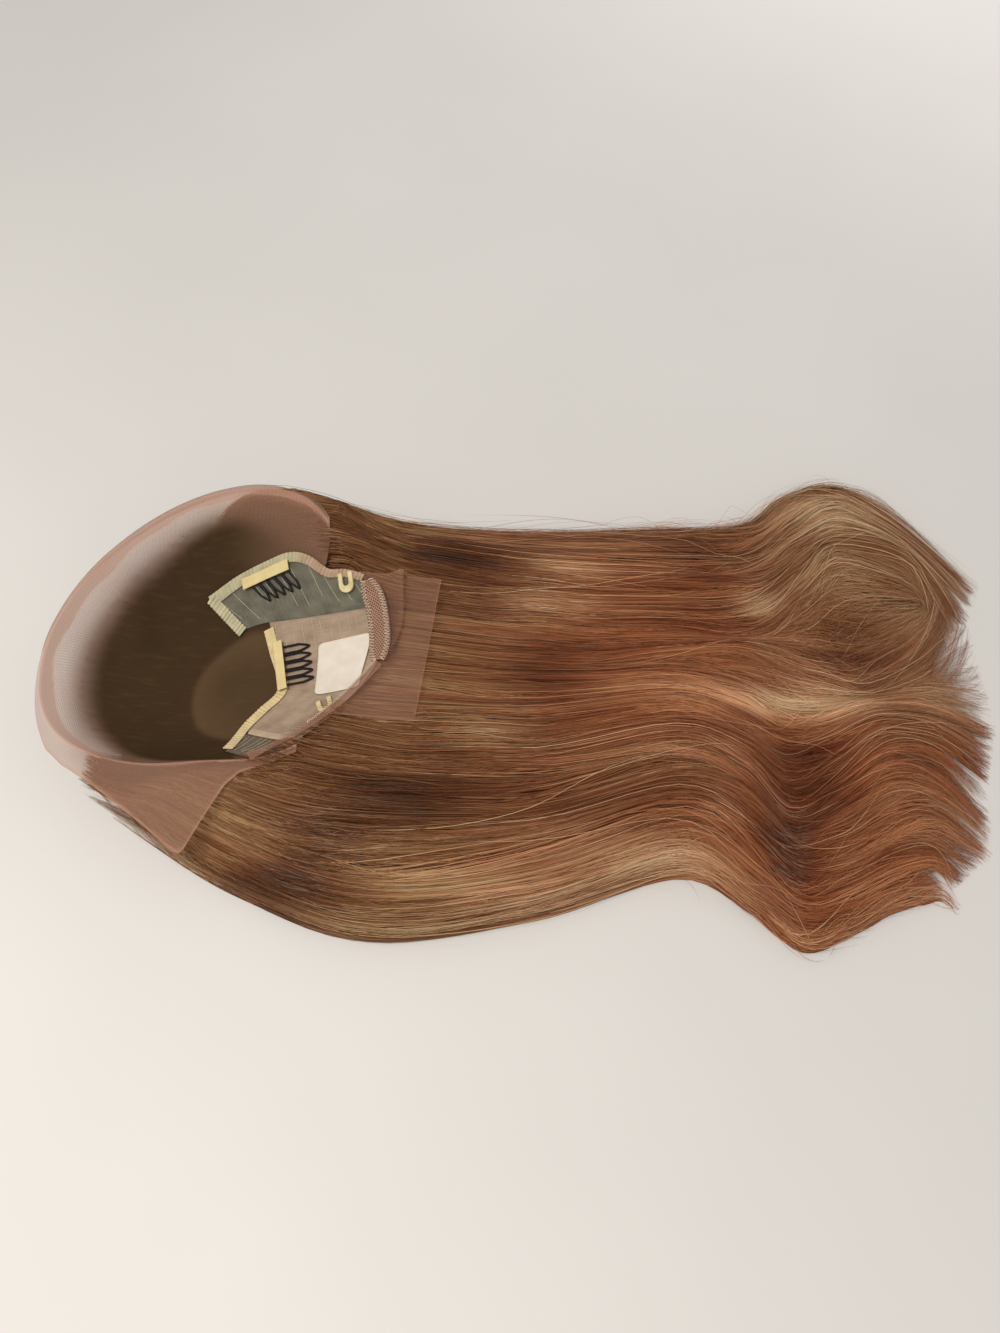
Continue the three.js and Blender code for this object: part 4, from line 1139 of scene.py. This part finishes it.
def edge_wisps(rng):
    """Fine loose hairs that stand off the outline of the hair, some in bows and some with free ends."""
    u, each = SHORT_WAY, (WISPS, 1)
    far = rng.random(each) < WISPS_FAR
    inset = np.abs(rng.normal(0, 0.12, each))
    s = np.where(far, GUIDES - 0.52 - inset, -0.48 + inset) + 0 * u
    first = rng.uniform(0.01, 0.86, each)
    t = np.minimum(first + rng.uniform(0.06, 0.24, each) * u, 1.02)
    free = rng.random(each) < WISPS_FREE
    bow = np.where(free, u**1.7, np.sin(np.pi * u))
    off = rng.exponential(WISP_OFF, each) * bow + waves(rng, WISPS, u, (0.5,), (1.6,)) * u
    lift = rng.exponential(WISP_LIFT, each) * bow

    def stand_off(paths):
        return aside(paths, np.where(far, 1.0, -1.0) * off, lift)

    tone = rng.normal(0.2, 0.25, each)
    hue = rng.normal(0, HUE_SPREAD, each)
    return finish_strands(rng, s, t, np.zeros_like(t), tone, hue, WISP_WIDTH, stand_off)


FLYAWAYS, FLYAWAYS_AT_EDGE, FLYAWAY_WIDTH = 380, 0.4, (0.16, 0.28)


def flyaways(rng):
    """Loose single hairs that leave the flow, most of them near the ends and the edges."""
    u, each = SHORT_WAY, (FLYAWAYS, 1)
    edge = rng.random(each) < FLYAWAYS_AT_EDGE
    edge_s = rng.choice([-0.45, GUIDES - 0.55], each)
    s = np.where(edge, edge_s, rng.uniform(0, GUIDES - 1, each))
    begin = rng.uniform(0.15, 0.8, each)
    last = np.clip(begin + rng.uniform(0.15, 0.4, each), 0, 1.0)
    t = begin + (last - begin) * u
    astray = np.where(rng.random(each) < 0.25, 1.0, 0.3)
    leave = (astray * rng.normal(0, 1, each)) * u**1.8
    curl = waves(rng, FLYAWAYS, u, (0.1,), (0.9,)) * u
    depth = -rng.uniform(0.2, 3.2, each) * np.sin(np.pi * u * 0.8)
    s = np.clip(s + leave + curl, NEAR_EDGE, FAR_EDGE)
    tone = rng.normal(0.35, 0.25, each)
    hue = rng.normal(0, HUE_SPREAD, each)
    return finish_strands(rng, s, t, depth, tone, hue, FLYAWAY_WIDTH)


HAIR_LENGTH = 560
MASS_FIRST, MASS_LAST = 0.035, 0.89
CURL_FILL, MASS_INSET = 0.07, 0.2
# How far the mass stays below the strands and the lace, and over the table the least height of its top and
# the height of its underside
MASS_BELOW_TOP, MASS_BELOW_LACE = 4.5, 5.5
MASS_RIM, MASS_BOTTOM = 0.8, 0.3


def hair_mass(material):
    """The body of hair under the strands, closed down to the table."""
    rows, columns = 96, 88
    share, across = square(rows, columns)
    near = NEAR_WALL + MASS_INSET * smooth((0.16 - share) / 0.16)
    s = near + (FAR_WALL - near) * across
    last = MASS_LAST + CURL_FILL * smooth(1 - np.abs(s - CURL_GUIDE) / 1.8)
    last = last - 0.05 * smooth((0.7 - s) / 1.1)
    first = MASS_FIRST + 0.012 * smooth((0.9 - s) / 1.3)
    t = first + (last - first) * share
    x, y, z = hair_top(s, t)
    taper = smooth((last + 0.03 - t) / 0.12)
    z = np.minimum(z - MASS_BELOW_TOP, lid_at(x, y) - MASS_BELOW_LACE) * taper
    top = np.stack([x, y, np.maximum(z, MASS_RIM)], axis=-1)
    bottom = top.copy()
    bottom[..., 2] = MASS_BOTTOM
    low = rows * columns
    faces = np.concatenate([grid_faces(rows, columns)[:, ::-1], grid_faces(rows, columns, low)])
    index = np.arange(low).reshape(rows, columns)
    border = np.concatenate([index[0, :-1], index[:-1, -1], index[-1, :0:-1], index[:0:-1, 0]])
    after = np.roll(border, -1)
    rim = np.stack([border, after, after + low, border + low], axis=1)
    points = np.concatenate([top.reshape(-1, 3), bottom.reshape(-1, 3)])
    uv = np.stack([t * HAIR_LENGTH, (s - NEAR_EDGE) * GUIDE_SPACING], axis=-1).reshape(-1, 2)
    mesh = new_mesh("hair_mass", points, np.concatenate([faces, rim]), np.concatenate([uv, uv]))
    add_piece(mesh, "hair", material, "hair")


def strand_pieces(name, made, material, places):
    """Strand meshes of at most STRANDS_A_PIECE strands each."""
    points, faces, tints = made
    per_points = places * 2
    per_faces = places - 1
    count = len(points) // per_points
    step = math.ceil(count / math.ceil(count / STRANDS_A_PIECE))
    for number, start in enumerate(range(0, count, step)):
        stop = min(start + step, count)
        p = slice(start * per_points, stop * per_points)
        f = faces[start * per_faces : stop * per_faces] - start * per_points
        mesh = new_mesh(f"{name}_{number + 1}", points[p], f, tint=tints[p])
        add_piece(mesh, "hair", material)


# Sets of strands: name, what makes them, its seed, places along a strand and further settings
HAIR_SETS = [
    ("hair_under", clumped_strands, 11, STRAND_PLACES, UNDER_CLUMPS, UNDER_DEPTH, UNDER_LAYER_SHADE),
    ("hair_top", clumped_strands, 12, STRAND_PLACES, TOP_CLUMPS, 0.0, 0.0),
    ("hair_loose", flyaways, 14, SHORT_PLACES),
    ("hair_fringe_near", edge_fringe, 15, SHORT_PLACES, *NEAR_FRINGE),
    ("hair_fringe_far", edge_fringe, 15, SHORT_PLACES, *FAR_FRINGE),
    ("hair_wisps", edge_wisps, 16, SHORT_PLACES),
    ("hair_sides", wall_strands, 17, SHORT_PLACES),
    ("hair_front", front_strands, 19, SHORT_PLACES),
    ("hair_roots", root_strands, 18, SHORT_PLACES),
]


def build_hair():
    hair_mass(mass_material())
    strand = strand_material()
    for name, make, seed, places, *settings in HAIR_SETS:
        strand_pieces(name, make(np.random.default_rng(seed), *settings), strand, places)


# Lace

# The nape lace: its lengths out and along for its net, along for its edges, and the width of an edge
NAPE_NET_OUT, NAPE_NET_ALONG, NAPE_EDGE_ALONG, NAPE_EDGE = 40, 105, 100, 1.2
# How dense it is, how much denser along its edges, and how dense the roll is
NAPE_BODY, NAPE_EDGE_BODY, ROLL_BODY, ROLL_COLUMNS = 0.9, 0.4, 1.25, 9
LACE_SINGLE, LACE_DOUBLE, LACE_TURNED = 0.72, 1.2, 0.76
# Painted light on the lace's raised folds inside the cap: middle, half lengths, width of the edge, strength
LIT_FOLD_PATCHES = [(20, -20, 39, 42, 0.12, 0.6), (44, 62, 50, 16, 0.7, 0.6)]


def lace_shares(plan, distance, angle, end):
    """How dense the lace is, how much hair is knotted in it, which also paints the bowl's shade, and where
    painted light lies on its folds, by point.
    """
    reach = cap_value(REACH, angle)
    hem = cap_value(HEM, angle) * (1 + 0.14 * np.sin(5 * angle + 1) + 0.1 * np.sin(13 * angle))
    body = LACE_SINGLE + 0.12 * smooth((distance - reach + 1.9 * hem) / 2.5)
    body = body + (LACE_DOUBLE - LACE_SINGLE) * smooth((distance - reach + hem) / 0.9)
    selvedge = LACE_TURNED + 0.35 * smooth((distance - end + 1.4) / 0.8)
    body = np.where(distance > reach + 0.8, selvedge, body)
    x, y = plan[..., 0], plan[..., 1]
    # Knotted hair, whose darkness also paints the shade inside the bowl
    knots_and_shade = smooth((reach - cap_value(BARE, angle) - distance) / cap_value(FADE, angle))
    knots_and_shade = knots_and_shade * (1 - 0.4 * ease(x, 5, 50) * ease(y, 20, 55))
    fold = np.zeros_like(x)
    for *oval, edge, strength in LIT_FOLD_PATCHES:
        inside = 1 - away(x, y, *oval)
        fold = np.maximum(fold, strength * smooth(inside / edge) * (1 - 0.5 * smooth(inside / 0.7)))
    return body, knots_and_shade, fold * knots_and_shade


def build_lace(material):
    spokes, brim = 400, 16
    shares = np.concatenate([np.linspace(0.003, 0.8, 26), np.linspace(0.8, 1, 22)[1:]])
    trims = [math.atan2(y, x) for x, y in LACE_TRIM]
    angle = np.unique(np.concatenate([np.linspace(-np.pi, np.pi, spokes + 1), trims]))
    end = lace_end(angle)
    inner = np.minimum(cap_value(REACH, angle), end)
    rings = [inner * share for share in shares]
    rings += [inner + (end - inner) * share for share in np.linspace(0, 1, brim + 1)[1:]]
    distance = np.stack(rings)
    plan = np.stack([distance * np.cos(angle), distance * np.sin(angle)], axis=-1)
    points = on_cap(plan, 0.0)
    crease = 0.35 * np.sin(0.11 * plan[..., 0] + 0.6 * np.sin(0.07 * plan[..., 1]))
    crease = crease + 0.3 * np.sin(0.17 * plan[..., 1] - 0.09 * plan[..., 0])
    points[..., 2] += crease * smooth(distance / 30)
    steps = np.linalg.norm(np.diff(points, axis=0), axis=-1)
    arc = np.concatenate([distance[:1], steps]).cumsum(axis=0)
    uv = np.stack([arc * np.cos(angle), arc * np.sin(angle)], axis=-1)
    body, knots_and_shade, fold = lace_shares(plan, distance, angle, end)
    faces = grid_faces(*distance.shape)
    flat = points.reshape(-1, 3)
    a, b, c, d = (flat[faces[:, k]] for k in range(4))
    area = np.linalg.norm(np.cross(c - a, d - b), axis=1)
    values = {"body": body, "knots_and_shade": knots_and_shade, "fold": fold}
    mesh = new_mesh("lace_front", flat, faces[area > 1e-3], uv.reshape(-1, 2), **values)
    piece = add_piece(mesh, "lace", material, "lace_cap")


def build_nape_lace(material):
    u, v = square(60, 60)
    flap = (nape_lace_points(u, v), np.stack([v * NAPE_NET_OUT, u * NAPE_NET_ALONG], axis=-1))
    roll = strip_grid(curve(ROLL_LINE, ROLL_PLACES), ROLL_WIDTH, ROLL_LIFT, ROLL_COLUMNS)
    edge = np.minimum(np.minimum(v, 1 - v) * NAPE_NET_OUT, np.minimum(u, 1 - u) * NAPE_EDGE_ALONG)
    body = NAPE_BODY + NAPE_EDGE_BODY * smooth(1 - edge / NAPE_EDGE)
    body = np.concatenate([body.ravel(), np.full(ROLL_PLACES * ROLL_COLUMNS, ROLL_BODY)])
    mesh = new_mesh("lace_nape", *join_grids([flap, roll]), body=body)
    piece = add_piece(mesh, "lace", material, "nape_lace")


# Inside of the cap


def panel_plan(name, u, v):
    panel = PANELS[name]
    places = np.linspace(0, 1, PANEL_PLACES)
    sides = []
    for side in ("seam", "edge"):
        line = curve(panel[side], PANEL_PLACES)
        sides.append(np.stack([np.interp(u, places, line[:, k]) for k in range(2)], axis=-1))
    seam, edge = sides
    return seam + (edge - seam) * v[..., None]


def build_panel(name, slot, material, threads, thread):
    """A wefted panel with its weft threads: threads is (along which way, how many, from, to, slant)."""
    rows, columns = 60, 40
    u, v = square(rows, columns)
    points = on_cap(panel_plan(name, u, v), PANEL_LIFT)
    length = length_of(points[:, columns // 2])
    span = length_of(points[rows // 2])
    uv = np.stack([u * length, v * span], axis=-1)
    piece = cloth(name + "_net", slot, material, name, points, uv, CLOTH_THICK)
    way, count, start, stop, slant = threads
    rng = np.random.default_rng(21 + count)
    lines = []
    for k in range(count):
        place = (k + 0.5 + 0.2 * rng.normal()) / count
        low = start + 0.1 * (stop - start) * rng.random()
        high = stop - 0.35 * (stop - start) * rng.random()
        along = np.linspace(low, high, WEFT_PLACES)
        across = np.clip(place + slant * (along - 0.5), 0.02, 0.98)
        pair = (across, along) if way == "v" else (along, across)
        lines.append(on_cap(panel_plan(name, *pair), PANEL_LIFT + WEFT_LIFT))
    sewn = add_piece(new_mesh(name + "_wefts", *tubes(lines, WEFT_THREAD, THREAD_SIDES)), slot, thread)


def strip_grid(line, width, lift, columns, ripple=None):
    """A strip on the cap along a plan line: points by place and column, with its uv."""
    side = side_of(line)
    across = np.linspace(-0.5, 0.5, columns)
    wave = np.zeros(len(line)) if ripple is None else ripple
    wide = width * (1 + STRIP_WIDER * wave)
    plan = line[:, None] + side[:, None] * (across[None, :] * wide[:, None])[..., None]
    rounded = 1 - (2 * across[None, :]) ** 4
    rise = lift + STRIP_ROUND * rounded + STRIP_RIDGE * wave[:, None] * (0.35 + 0.65 * rounded)
    points = on_rim(plan, rise)
    steps = np.concatenate([[0], np.cumsum(np.linalg.norm(np.diff(line, axis=0), axis=1))])
    uv = np.stack(np.broadcast_arrays(steps[:, None], across[None, :] * np.mean(wide)), axis=-1)
    return points, uv


def gathers(rng, count, step, pitch):
    """Height of a tape's gathers along it: ridges a pitch apart, uneven in step and size."""
    place = np.arange(count) * step
    drift = np.cumsum(rng.normal(0, GATHER_DRIFT, count)) * step
    size = 0.65 + 0.35 * np.sin(2 * np.pi * place / (GATHER_SWELL * pitch) + 1)
    return size * np.sin(2 * np.pi * (place + drift) / pitch)


def build_tape(name, lines, lift, slot, material, node):
    """A tape sewn on in runs, each (plan points, widths at its ends, strength of its gathers there)."""
    rng = np.random.default_rng(len(name) + 31)
    grids, bodies = [], []
    for number, (places, widths, puckers) in enumerate(lines):
        smooth_line = curve(places, TAPE_PLACES)
        count = int(length_of(smooth_line) / TAPE_STEP) + 2
        line = evenly(smooth_line, count)
        width = np.linspace(*widths, count)
        ripple = gathers(rng, count, TAPE_STEP, TAPE_PITCH) * np.linspace(*puckers, count)
        grids.append(strip_grid(line, width, lift + TAPE_LAYER * number, TAPE_COLUMNS, ripple))
        # The gathers' heights, which the tape's material paints as light on their ridges
        bodies.append(np.repeat(0.5 + 0.5 * ripple, TAPE_COLUMNS))
    mesh = new_mesh(name, *join_grids(grids), body=np.concatenate(bodies))
    thicken(add_piece(mesh, slot, material, node), CLOTH_THICK)


def zigzag(line, pitch, swing, lift):
    """A zigzag thread along a plan line on the cap."""
    count = int(length_of(line) / pitch) * 2
    fine = evenly(line, count)
    turn = np.where(np.arange(count) % 2 == 0, -0.5, 0.5)
    return on_rim(fine + side_of(fine) * (swing * turn)[:, None], lift)


def offset_line(line, off):
    return line + off * side_of(line)


def build_band(material, thread):
    line = curve(BAND_LINE, BAND_PLACES)
    share = np.linspace(0, 1, len(line))
    full = np.sqrt(smooth(np.minimum(share, 1 - share) / BAND_TAPER))
    width = BAND_END_WIDTH + (BAND_WIDTH - BAND_END_WIDTH) * full
    grid = strip_grid(line, width, BAND_LIFT, BAND_COLUMNS)
    piece = cloth("nape_band_mesh", "nape_mesh", material, "nape_band", *grid, CLOTH_THICK)
    pitch, swing, lift = BAND_STITCH
    lines = []
    for side in (-1, 1):
        edge = offset_line(line, side * (width / 2 - BAND_STITCH_INSET)[:, None])
        lines.append(zigzag(edge, pitch, swing, BAND_LIFT + lift))
    pitch, swing, lift = ROLL_STITCH
    roll = curve(ROLL_LINE, ROLL_PLACES)[:ROLL_SEWN_PLACES]
    lines.append(zigzag(offset_line(roll, ROLL_SEAM - ROLL_WIDTH / 2), pitch, swing, ROLL_LIFT + lift))
    stitches = new_mesh("nape_stitches", *tubes(lines, STITCH_THREAD, THREAD_SIDES))
    sewn = add_piece(stitches, "nape_mesh", thread)


def build_label(material):
    v, u = square(60, 48)
    across = (2 * v - 1) * LABEL_LENGTH / 2
    corner = np.maximum(LABEL_ROUND - (LABEL_LENGTH / 2 - np.abs(across)), 0)
    cut = LABEL_ROUND - np.sqrt(np.maximum(LABEL_ROUND**2 - corner**2, 0))
    along = (2 * u - 1) * (LABEL_WIDTH / 2 - cut)
    skew = LABEL_SKEW * u * smooth((across + LABEL_LENGTH / 2) / LABEL_LENGTH)
    plan = np.stack([LABEL_MIDDLE[0] + along + skew, LABEL_MIDDLE[1] + across], axis=-1)
    hem = LABEL_HEM * smooth((across - LABEL_LENGTH / 2 + LABEL_HEM_WIDTH) / LABEL_HEM_SLOPE)
    wave = 0.35 * np.sin(0.16 * along + 0.1 * across) + 0.9 * smooth((-along - 6) / 9)
    points = on_cap(plan, LABEL_LIFT + hem + wave * 0.6)
    uv = np.stack([along, across], axis=-1)
    piece = cloth("label_cloth", "label", material, "label", points, uv, LABEL_THICK)


def build_comb(name, material, tape):
    comb = COMBS[name]
    middle = np.array(comb["middle"])
    spine_way = np.array(comb["spine"]) / COMB_WIDTH
    tooth_way = np.array(comb["tooth"]) / TOOTH_LENGTH

    def at(places):
        along, out = np.array(places, float).T
        plan = middle + along[:, None] * spine_way + out[:, None] * tooth_way
        share = np.clip(out / TOOTH_LENGTH, 0, 1)
        return on_cap(plan, SPINE_LIFT + (TIP_LIFT - SPINE_LIFT) * share)

    half = COMB_WIDTH / 2
    pitch = COMB_WIDTH / COMB_TEETH
    inset = TOOTH_WIRE * TOOTH_INSET
    bend = TOOTH_LENGTH * TOOTH_BEND
    neck = TOOTH_LENGTH * TOOTH_NECK
    lines = []
    for k in range(COMB_TEETH):
        left = -half + k * pitch + inset
        right = left + pitch - 2 * inset
        tip = (left + right) / 2
        loop = [(tip - inset, neck), (tip, TOOTH_LENGTH), (tip + inset, neck)]
        path = [(left, 0), (left, bend), *loop, (right, bend), (right, 0)]
        bent = evenly(np.array(path, float), TOOTH_PLACES)
        for _ in range(2):
            bent[1:-1] = (bent[:-2] + 2 * bent[1:-1] + bent[2:]) / 4
        lines.append(at(bent))
    points, faces = tubes(lines, TOOTH_WIRE / 2, WIRE_SIDES)
    end = half + SPINE_OVERHANG
    spine = curve(at([(-end, 0), (0, 0), (end, 0)]), SPINE_PLACES)
    spine_points, spine_faces = tubes([spine], SPINE_WIRE / 2, WIRE_SIDES)
    faces = np.concatenate([faces, spine_faces + len(points)])
    points = np.concatenate([points, spine_points])
    mesh = new_mesh(f"comb_{name}_wire", points, faces)
    add_piece(mesh, "comb_wire", material, f"comb_{name}")
    reach = COMB_TAPE_LENGTH / 2
    line = [middle + spine_way * reach * share for share in (-1, -0.33, 0.33, 1)]
    run = (line, (COMB_TAPE_WIDTH, COMB_TAPE_WIDTH), (0, 0))
    build_tape(f"comb_{name}_tape", [run], COMB_TAPE_LIFT, "comb_tape", tape, f"comb_tape_{name}")


HOOK_EDGE, HOOK_EDGE_STEPS = 0.45, 3


def build_hooks(nodes):
    plastic = hook_material()
    for name in ("strap_hook_far", "strap_hook_near"):
        hook = nodes[name]
        hook.data.materials.clear()
        hook.data.materials.append(plastic)
        bevel = hook.modifiers.new("soft edges", "BEVEL")
        bevel.width = HOOK_EDGE * MM
        bevel.segments = HOOK_EDGE_STEPS
        bevel.limit_method = "ANGLE"


def build_cap(nodes):
    # The bowl lace's darker colour, where it is single, is painted shade; the paler one is the lace's own
    bowl_lace = lace_material("lace_bowl", (144, 106, 86), (190, 146, 124), 0.8, 0.4)
    nape_lace = lace_material("lace_flap", (146, 104, 84), (184, 138, 116), 0.52, 0.12)
    cream = thread_material("weft_thread", (190, 182, 156), (230, 222, 196))
    pink = thread_material("stitch_thread", (224, 196, 170), (248, 228, 206))
    # The far and near panels are the mid panel's weft net in darker, greyer copies: painted shade
    shaded_weft = weft_material("weft_net_shaded_grey", (84, 82, 70), (130, 126, 110), 0.9 * MM)
    brown = weft_material("weft_net_shaded_brown", (78, 66, 52), (122, 104, 84), 0.9 * MM)
    tan = weft_material("weft_tan_net", (146, 122, 102), (192, 168, 144), 0.9 * MM)
    tan_end = ((142, 112, 90), (212, 182, 152))
    ribbed = tape_material("seam_tape_cloth", (146, 140, 108), (226, 218, 180), 0.5 * MM, tan_end)
    butter = tape_material("comb_tape_cloth", (218, 196, 134), (246, 228, 172), 0.6 * MM)
    cream_tape = tape_material("seam_tape_cream", (198, 174, 124), (250, 228, 176), 0.5 * MM)
    strip = tape_material("seam_strip_cloth", (178, 150, 122), (218, 192, 164), 0.6 * MM)
    build_lace(bowl_lace)
    build_nape_lace(nape_lace)
    build_panel("back_panel_far", "weft_grey", shaded_weft, ("v", 10, 0.04, 0.9, 0.05), cream)
    build_panel("back_panel_mid", "weft_tan", tan, ("u", 12, 0.0, 0.3, 0.0), cream)
    build_panel("back_panel_near", "weft_grey", brown, ("u", 9, 0.02, 1.0, 0.0), cream)
    wide = (TAPE_WIDTH, TAPE_WIDTH)
    far_run = (FAR_TAPE, (TAPE_END_WIDTH, TAPE_WIDTH), (0.7, 0.25))
    far_arm = (FAR_TAPE_ARM, wide, (1.0, 1.0))
    build_tape("seam_tape_far_cloth", [far_run, far_arm], TAPE_LIFT, "seam_tape", ribbed, "seam_tape_far")
    near_run = (NEAR_TAPE, wide, (0.2, 1.2))
    build_tape("seam_tape_near_cloth", [near_run], TAPE_LIFT, "seam_tape", cream_tape, "seam_tape_near")
    strip_run = (SEAM_STRIP, (SEAM_STRIP_WIDTH, SEAM_STRIP_WIDTH), (0, 0))
    build_tape("seam_strip_cloth", [strip_run], STRIP_LIFT, "seam_tape", strip, "seam_strip")
    build_label(label_material())
    build_band(band_material(), pink)
    wire = wire_material()
    for name in COMBS:
        build_comb(name, wire, butter)
    build_hooks(nodes)


# Stage, light and camera

FLOOR_HALF = 6.0
CAMERA_PLACE = (0.165, -0.4126, 0.6844)
CAMERA_TILT = 32
CAMERA_LENS = 35.16
SENSOR = 36
# Lights: name, place, size, power, colour
LIGHTS = [
    ("key", (-0.35, -0.5, 1.5), 0.7, 22, (1.0, 0.95, 0.88)),
    ("rim", (0.7, 0.9, 1.1), 0.8, 10, (1.0, 0.97, 0.94)),
]
LIGHT_TARGET = (0.18, 0, 0)
SKY_COLOUR, SKY_STRENGTH = (1.0, 0.97, 0.94, 1), 0.45


def build_stage():
    shader = Shader("floor_paper", 0.9, 0.1)
    shader.mottle(shader.place(), 3.0, 3.0, [(0.3, (226, 224, 221)), (0.7, (232, 230, 227))])
    corners = np.array([[-1, -1, 0], [1, -1, 0], [1, 1, 0], [-1, 1, 0]], float) * FLOOR_HALF / MM
    floor = bpy.data.objects.new("floor", new_mesh("floor", corners, [[0, 1, 2, 3]]))
    floor.data.materials.append(shader.material)
    bpy.context.scene.collection.objects.link(floor)


def add_light(name, place, size, power, colour):
    lamp = bpy.data.lights.new(name, "AREA")
    lamp.shape = "DISK"
    lamp.size = size
    lamp.energy = power
    lamp.color = colour
    made = bpy.data.objects.new(name, lamp)
    made.location = place
    x, y, z = np.array(LIGHT_TARGET) - np.array(place)
    made.rotation_euler = (math.atan2(math.hypot(x, y), -z), 0, math.atan2(x, -y))
    bpy.context.scene.collection.objects.link(made)


def build_light():
    world = bpy.data.worlds.new("studio")
    world.use_nodes = True
    sky = world.node_tree.nodes["Background"]
    sky.inputs["Color"].default_value = SKY_COLOUR
    sky.inputs["Strength"].default_value = SKY_STRENGTH
    bpy.context.scene.world = world
    for light in LIGHTS:
        add_light(*light)


def build_camera():
    scene = bpy.context.scene
    lens = bpy.data.cameras.new("camera")
    lens.lens = CAMERA_LENS
    lens.sensor_width = SENSOR
    lens.clip_start = 0.01
    camera = bpy.data.objects.new("camera", lens)
    camera.location = CAMERA_PLACE
    camera.rotation_euler = (math.radians(CAMERA_TILT), 0, 0)
    scene.collection.objects.link(camera)
    scene.camera = camera
    scene.view_settings.view_transform = "Standard"


def main():
    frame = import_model()
    build_hair()
    build_cap(frame["nodes"])
    build_stage()
    build_light()
    build_camera()


main()
